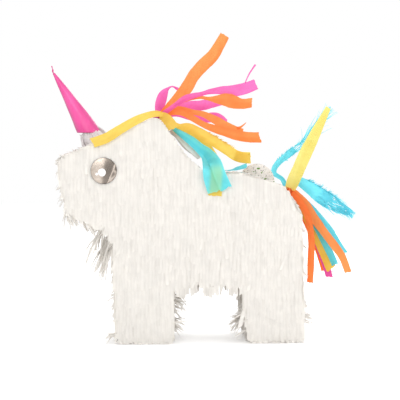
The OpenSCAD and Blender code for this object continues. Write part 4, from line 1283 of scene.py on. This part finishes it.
def make_eye(which):
    """A foil disc, a little domed and bent along a crease, and its two white dots."""
    sign = -1 if which == "left" else 1
    low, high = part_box(f"{which}_eye")
    cx, cz, r = (low.x + high.x) / 2, (low.z + high.z) / 2, (high.x - low.x) / 2
    face_y = low.y if sign < 0 else high.y
    rings, spokes = 30, 120

    def crease(dx, dz):
        """Distance past the crease."""
        return (dx - 0.61 * r) * 0.92 - (dz + 0.19 * r) * 0.39

    def height(dx, dz):
        q = crease(dx, dz)
        bent = 0.5 * MM * math.exp(-(q / (0.9 * MM)) ** 2) - 0.10 * max(q, 0.0)
        crumple = 0.12 * MM * math.sin(dx / (2.1 * MM) + 2 * math.sin(dz / (3.4 * MM))) if q > 0 else 0.0
        return face_y + sign * (EYE_DOME * (1 - (dx * dx + dz * dz) / (r * r)) + bent + crumple)

    def painted(dx, dz):
        """A painted reflection on the foil: light towards the nose, dark behind, mottled past the crease,
        with a painted highlight along the crease and painted shade at the rim.
        """
        u, q = dx / r - 0.12 * dz / r, crease(dx, dz) / r
        value = 0.95 - 0.8 / (1 + math.exp(-(u + 0.03) / 0.06))
        if q > 0:
            value = 0.45 + 0.3 * math.sin(dx / (1.7 * MM) + 2.5 * math.sin(dz / (2.6 * MM)))
        if abs(q) < 0.05:
            value = 0.85
        rim = (dx * dx + dz * dz) / (r * r)
        return max(0.0, value - 0.5 * max(0.0, rim - 0.86) / 0.14)

    points, shades, faces = [(cx, height(0, 0), cz)], [painted(0, 0)], []
    for i in range(1, rings + 1):
        for j in range(spokes):
            a = 2 * math.pi * j / spokes
            dx, dz = r * i / rings * math.cos(a), r * i / rings * math.sin(a)
            points.append((cx + dx, height(dx, dz), cz + dz))
            shades.append(painted(dx, dz))
    for j in range(spokes):
        faces.append((0, 1 + j, 1 + (j + 1) % spokes))
    for i in range(1, rings):
        for j in range(spokes):
            a, b = 1 + (i - 1) * spokes, 1 + i * spokes
            k = (j + 1) % spokes
            faces.append((a + j, b + j, b + k, a + k))
    # the edge of the disc gets shade 0: painted shade
    rim, last = len(points), 1 + (rings - 1) * spokes
    for j in range(spokes):
        a = 2 * math.pi * j / spokes
        points.append((cx + r * math.cos(a), face_y - sign * 1.0 * MM, cz + r * math.sin(a)))
        shades.append(0.0)
        faces.append((last + j, rim + j, rim + (j + 1) % spokes, last + (j + 1) % spokes))
    faces.append(tuple(rim + j for j in range(spokes)))
    eye = add_piece(f"{which}_eye_foil", points, faces, FOIL, shades)
    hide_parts(f"{which}_eye")
    make_dots(which, sign, cx, cz, height)


def make_dots(which, sign, cx, cz, height):
    """Two stuck-on dots that follow the foil, with softly rounded edges."""
    low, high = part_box(f"{which}_eye_dots")
    big_r = (high.z - low.z) / 2
    small_r = 1.7 * MM
    big = (high.x - big_r - cx, (low.z + high.z) / 2 - cz)
    small = (low.x + small_r - cx, big[1] - 2.2 * MM)
    points, faces = [], []
    spokes, profile = 40, ((0.5, 0.45), (0.8, 0.42), (0.93, 0.32), (1.0, 0.15), (1.0, -0.3))
    for (dx, dz), r in ((big, big_r), (small, small_r)):
        start = len(points)
        points.append((cx + dx, height(dx, dz) + sign * 0.45 * MM, cz + dz))
        for share, rise in profile:
            for j in range(spokes):
                a = 2 * math.pi * j / spokes
                wobble = 1 + 0.02 * math.sin(3 * a + r / MM)
                px, pz = dx + r * share * wobble * math.cos(a), dz + r * share * wobble * math.sin(a)
                points.append((cx + px, height(px, pz) + sign * rise * MM, cz + pz))
        for j in range(spokes):
            k = (j + 1) % spokes
            faces.append((start, start + 1 + j, start + 1 + k))
            for i in range(len(profile) - 1):
                a, b = start + 1 + i * spokes, start + 1 + (i + 1) * spokes
                faces.append((a + j, b + j, b + k, a + k))
        base = start + 1 + (len(profile) - 1) * spokes
        faces.append(tuple(base + j for j in range(spokes)))
    dots = add_piece(f"{which}_eye_stickers", points, faces, DOT_PAPER)
    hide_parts(f"{which}_eye_dots")


for which in ("left", "right"):
    make_eye(which)

# ---------------------------------------------------------------- pieces that stay as packed


def repaint(material, *nodes):
    for node in nodes:
        mesh = frame["nodes"][node].data
        if mesh.materials:
            mesh.materials[0] = material
        else:
            mesh.materials.append(material)


repaint(CARDBOARD, "left_side_panel", "right_side_panel", "head_band", "chest_band", "front_foot_base",
        "underside_band", "rear_foot_base", "rump_band", "back_band", "neck_band")
repaint(FLAP_CARD, "fill_flap")

# ---------------------------------------------------------------- floor and light

WORLD_LIGHT = 0.82  # strength of the world as a light. The camera sees it at full white
FLOOR_GLOW = 0.2  # strength of the floor's own light
FLOOR_REACH = 4.0


def make_floor():
    floor = bpy.data.meshes.new("floor")
    reach = FLOOR_REACH
    floor.from_pydata([(-reach, -reach, 0), (reach, -reach, 0), (reach, reach, 0), (-reach, reach, 0)],
                      [], [(0, 1, 2, 3)])
    s = Shader("pale floor")
    paint = s.add("ShaderNodeBsdfPrincipled", Roughness=0.9)
    paint.inputs["Base Color"].default_value = (0.95, 0.95, 0.95, 1)
    paint.inputs["Emission Color"].default_value = (1, 1, 1, 1)
    paint.inputs["Emission Strength"].default_value = FLOOR_GLOW
    floor.materials.append(s.finish(paint.outputs[0]))
    piece = bpy.data.objects.new("floor", floor)
    bpy.context.scene.collection.objects.link(piece)


def make_world():
    world = bpy.data.worlds.new("studio")
    world.use_nodes = True
    tree = world.node_tree
    light = tree.nodes["Background"]
    light.inputs["Color"].default_value = (1, 1, 1, 1)
    light.inputs["Strength"].default_value = WORLD_LIGHT
    seen = tree.nodes.new("ShaderNodeBackground")
    seen.inputs["Color"].default_value = (1, 1, 1, 1)
    seen.inputs["Strength"].default_value = 1.0
    ray = tree.nodes.new("ShaderNodeLightPath")
    mix = tree.nodes.new("ShaderNodeMixShader")
    tree.links.new(ray.outputs["Is Camera Ray"], mix.inputs[0])
    tree.links.new(light.outputs[0], mix.inputs[1])
    tree.links.new(seen.outputs[0], mix.inputs[2])
    tree.links.new(mix.outputs[0], tree.nodes["World Output"].inputs["Surface"])
    bpy.context.scene.world = world


def soft_light(name, place, size, power, aim=(0, 0, 0.18)):
    data = bpy.data.lights.new(name, "AREA")
    data.shape, data.size, data.energy = "DISK", size, power
    light = bpy.data.objects.new(name, data)
    light.location = place
    light.rotation_mode = "QUATERNION"
    light.rotation_quaternion = (Vector(aim) - Vector(place)).to_track_quat("-Z", "Y")
    bpy.context.scene.collection.objects.link(light)


make_floor()
make_world()
soft_light("key", (-0.3, -2.0, 1.2), 1.3, 17)
soft_light("fill", (1.5, -1.3, 0.9), 1.5, 9)
soft_light("top", (0.2, 0.6, 2.2), 1.6, 14)
soft_light("behind", (0.2, 1.9, 0.5), 1.4, 10, aim=(0, 0, 0.08))
bpy.context.scene.view_settings.view_transform = "Standard"
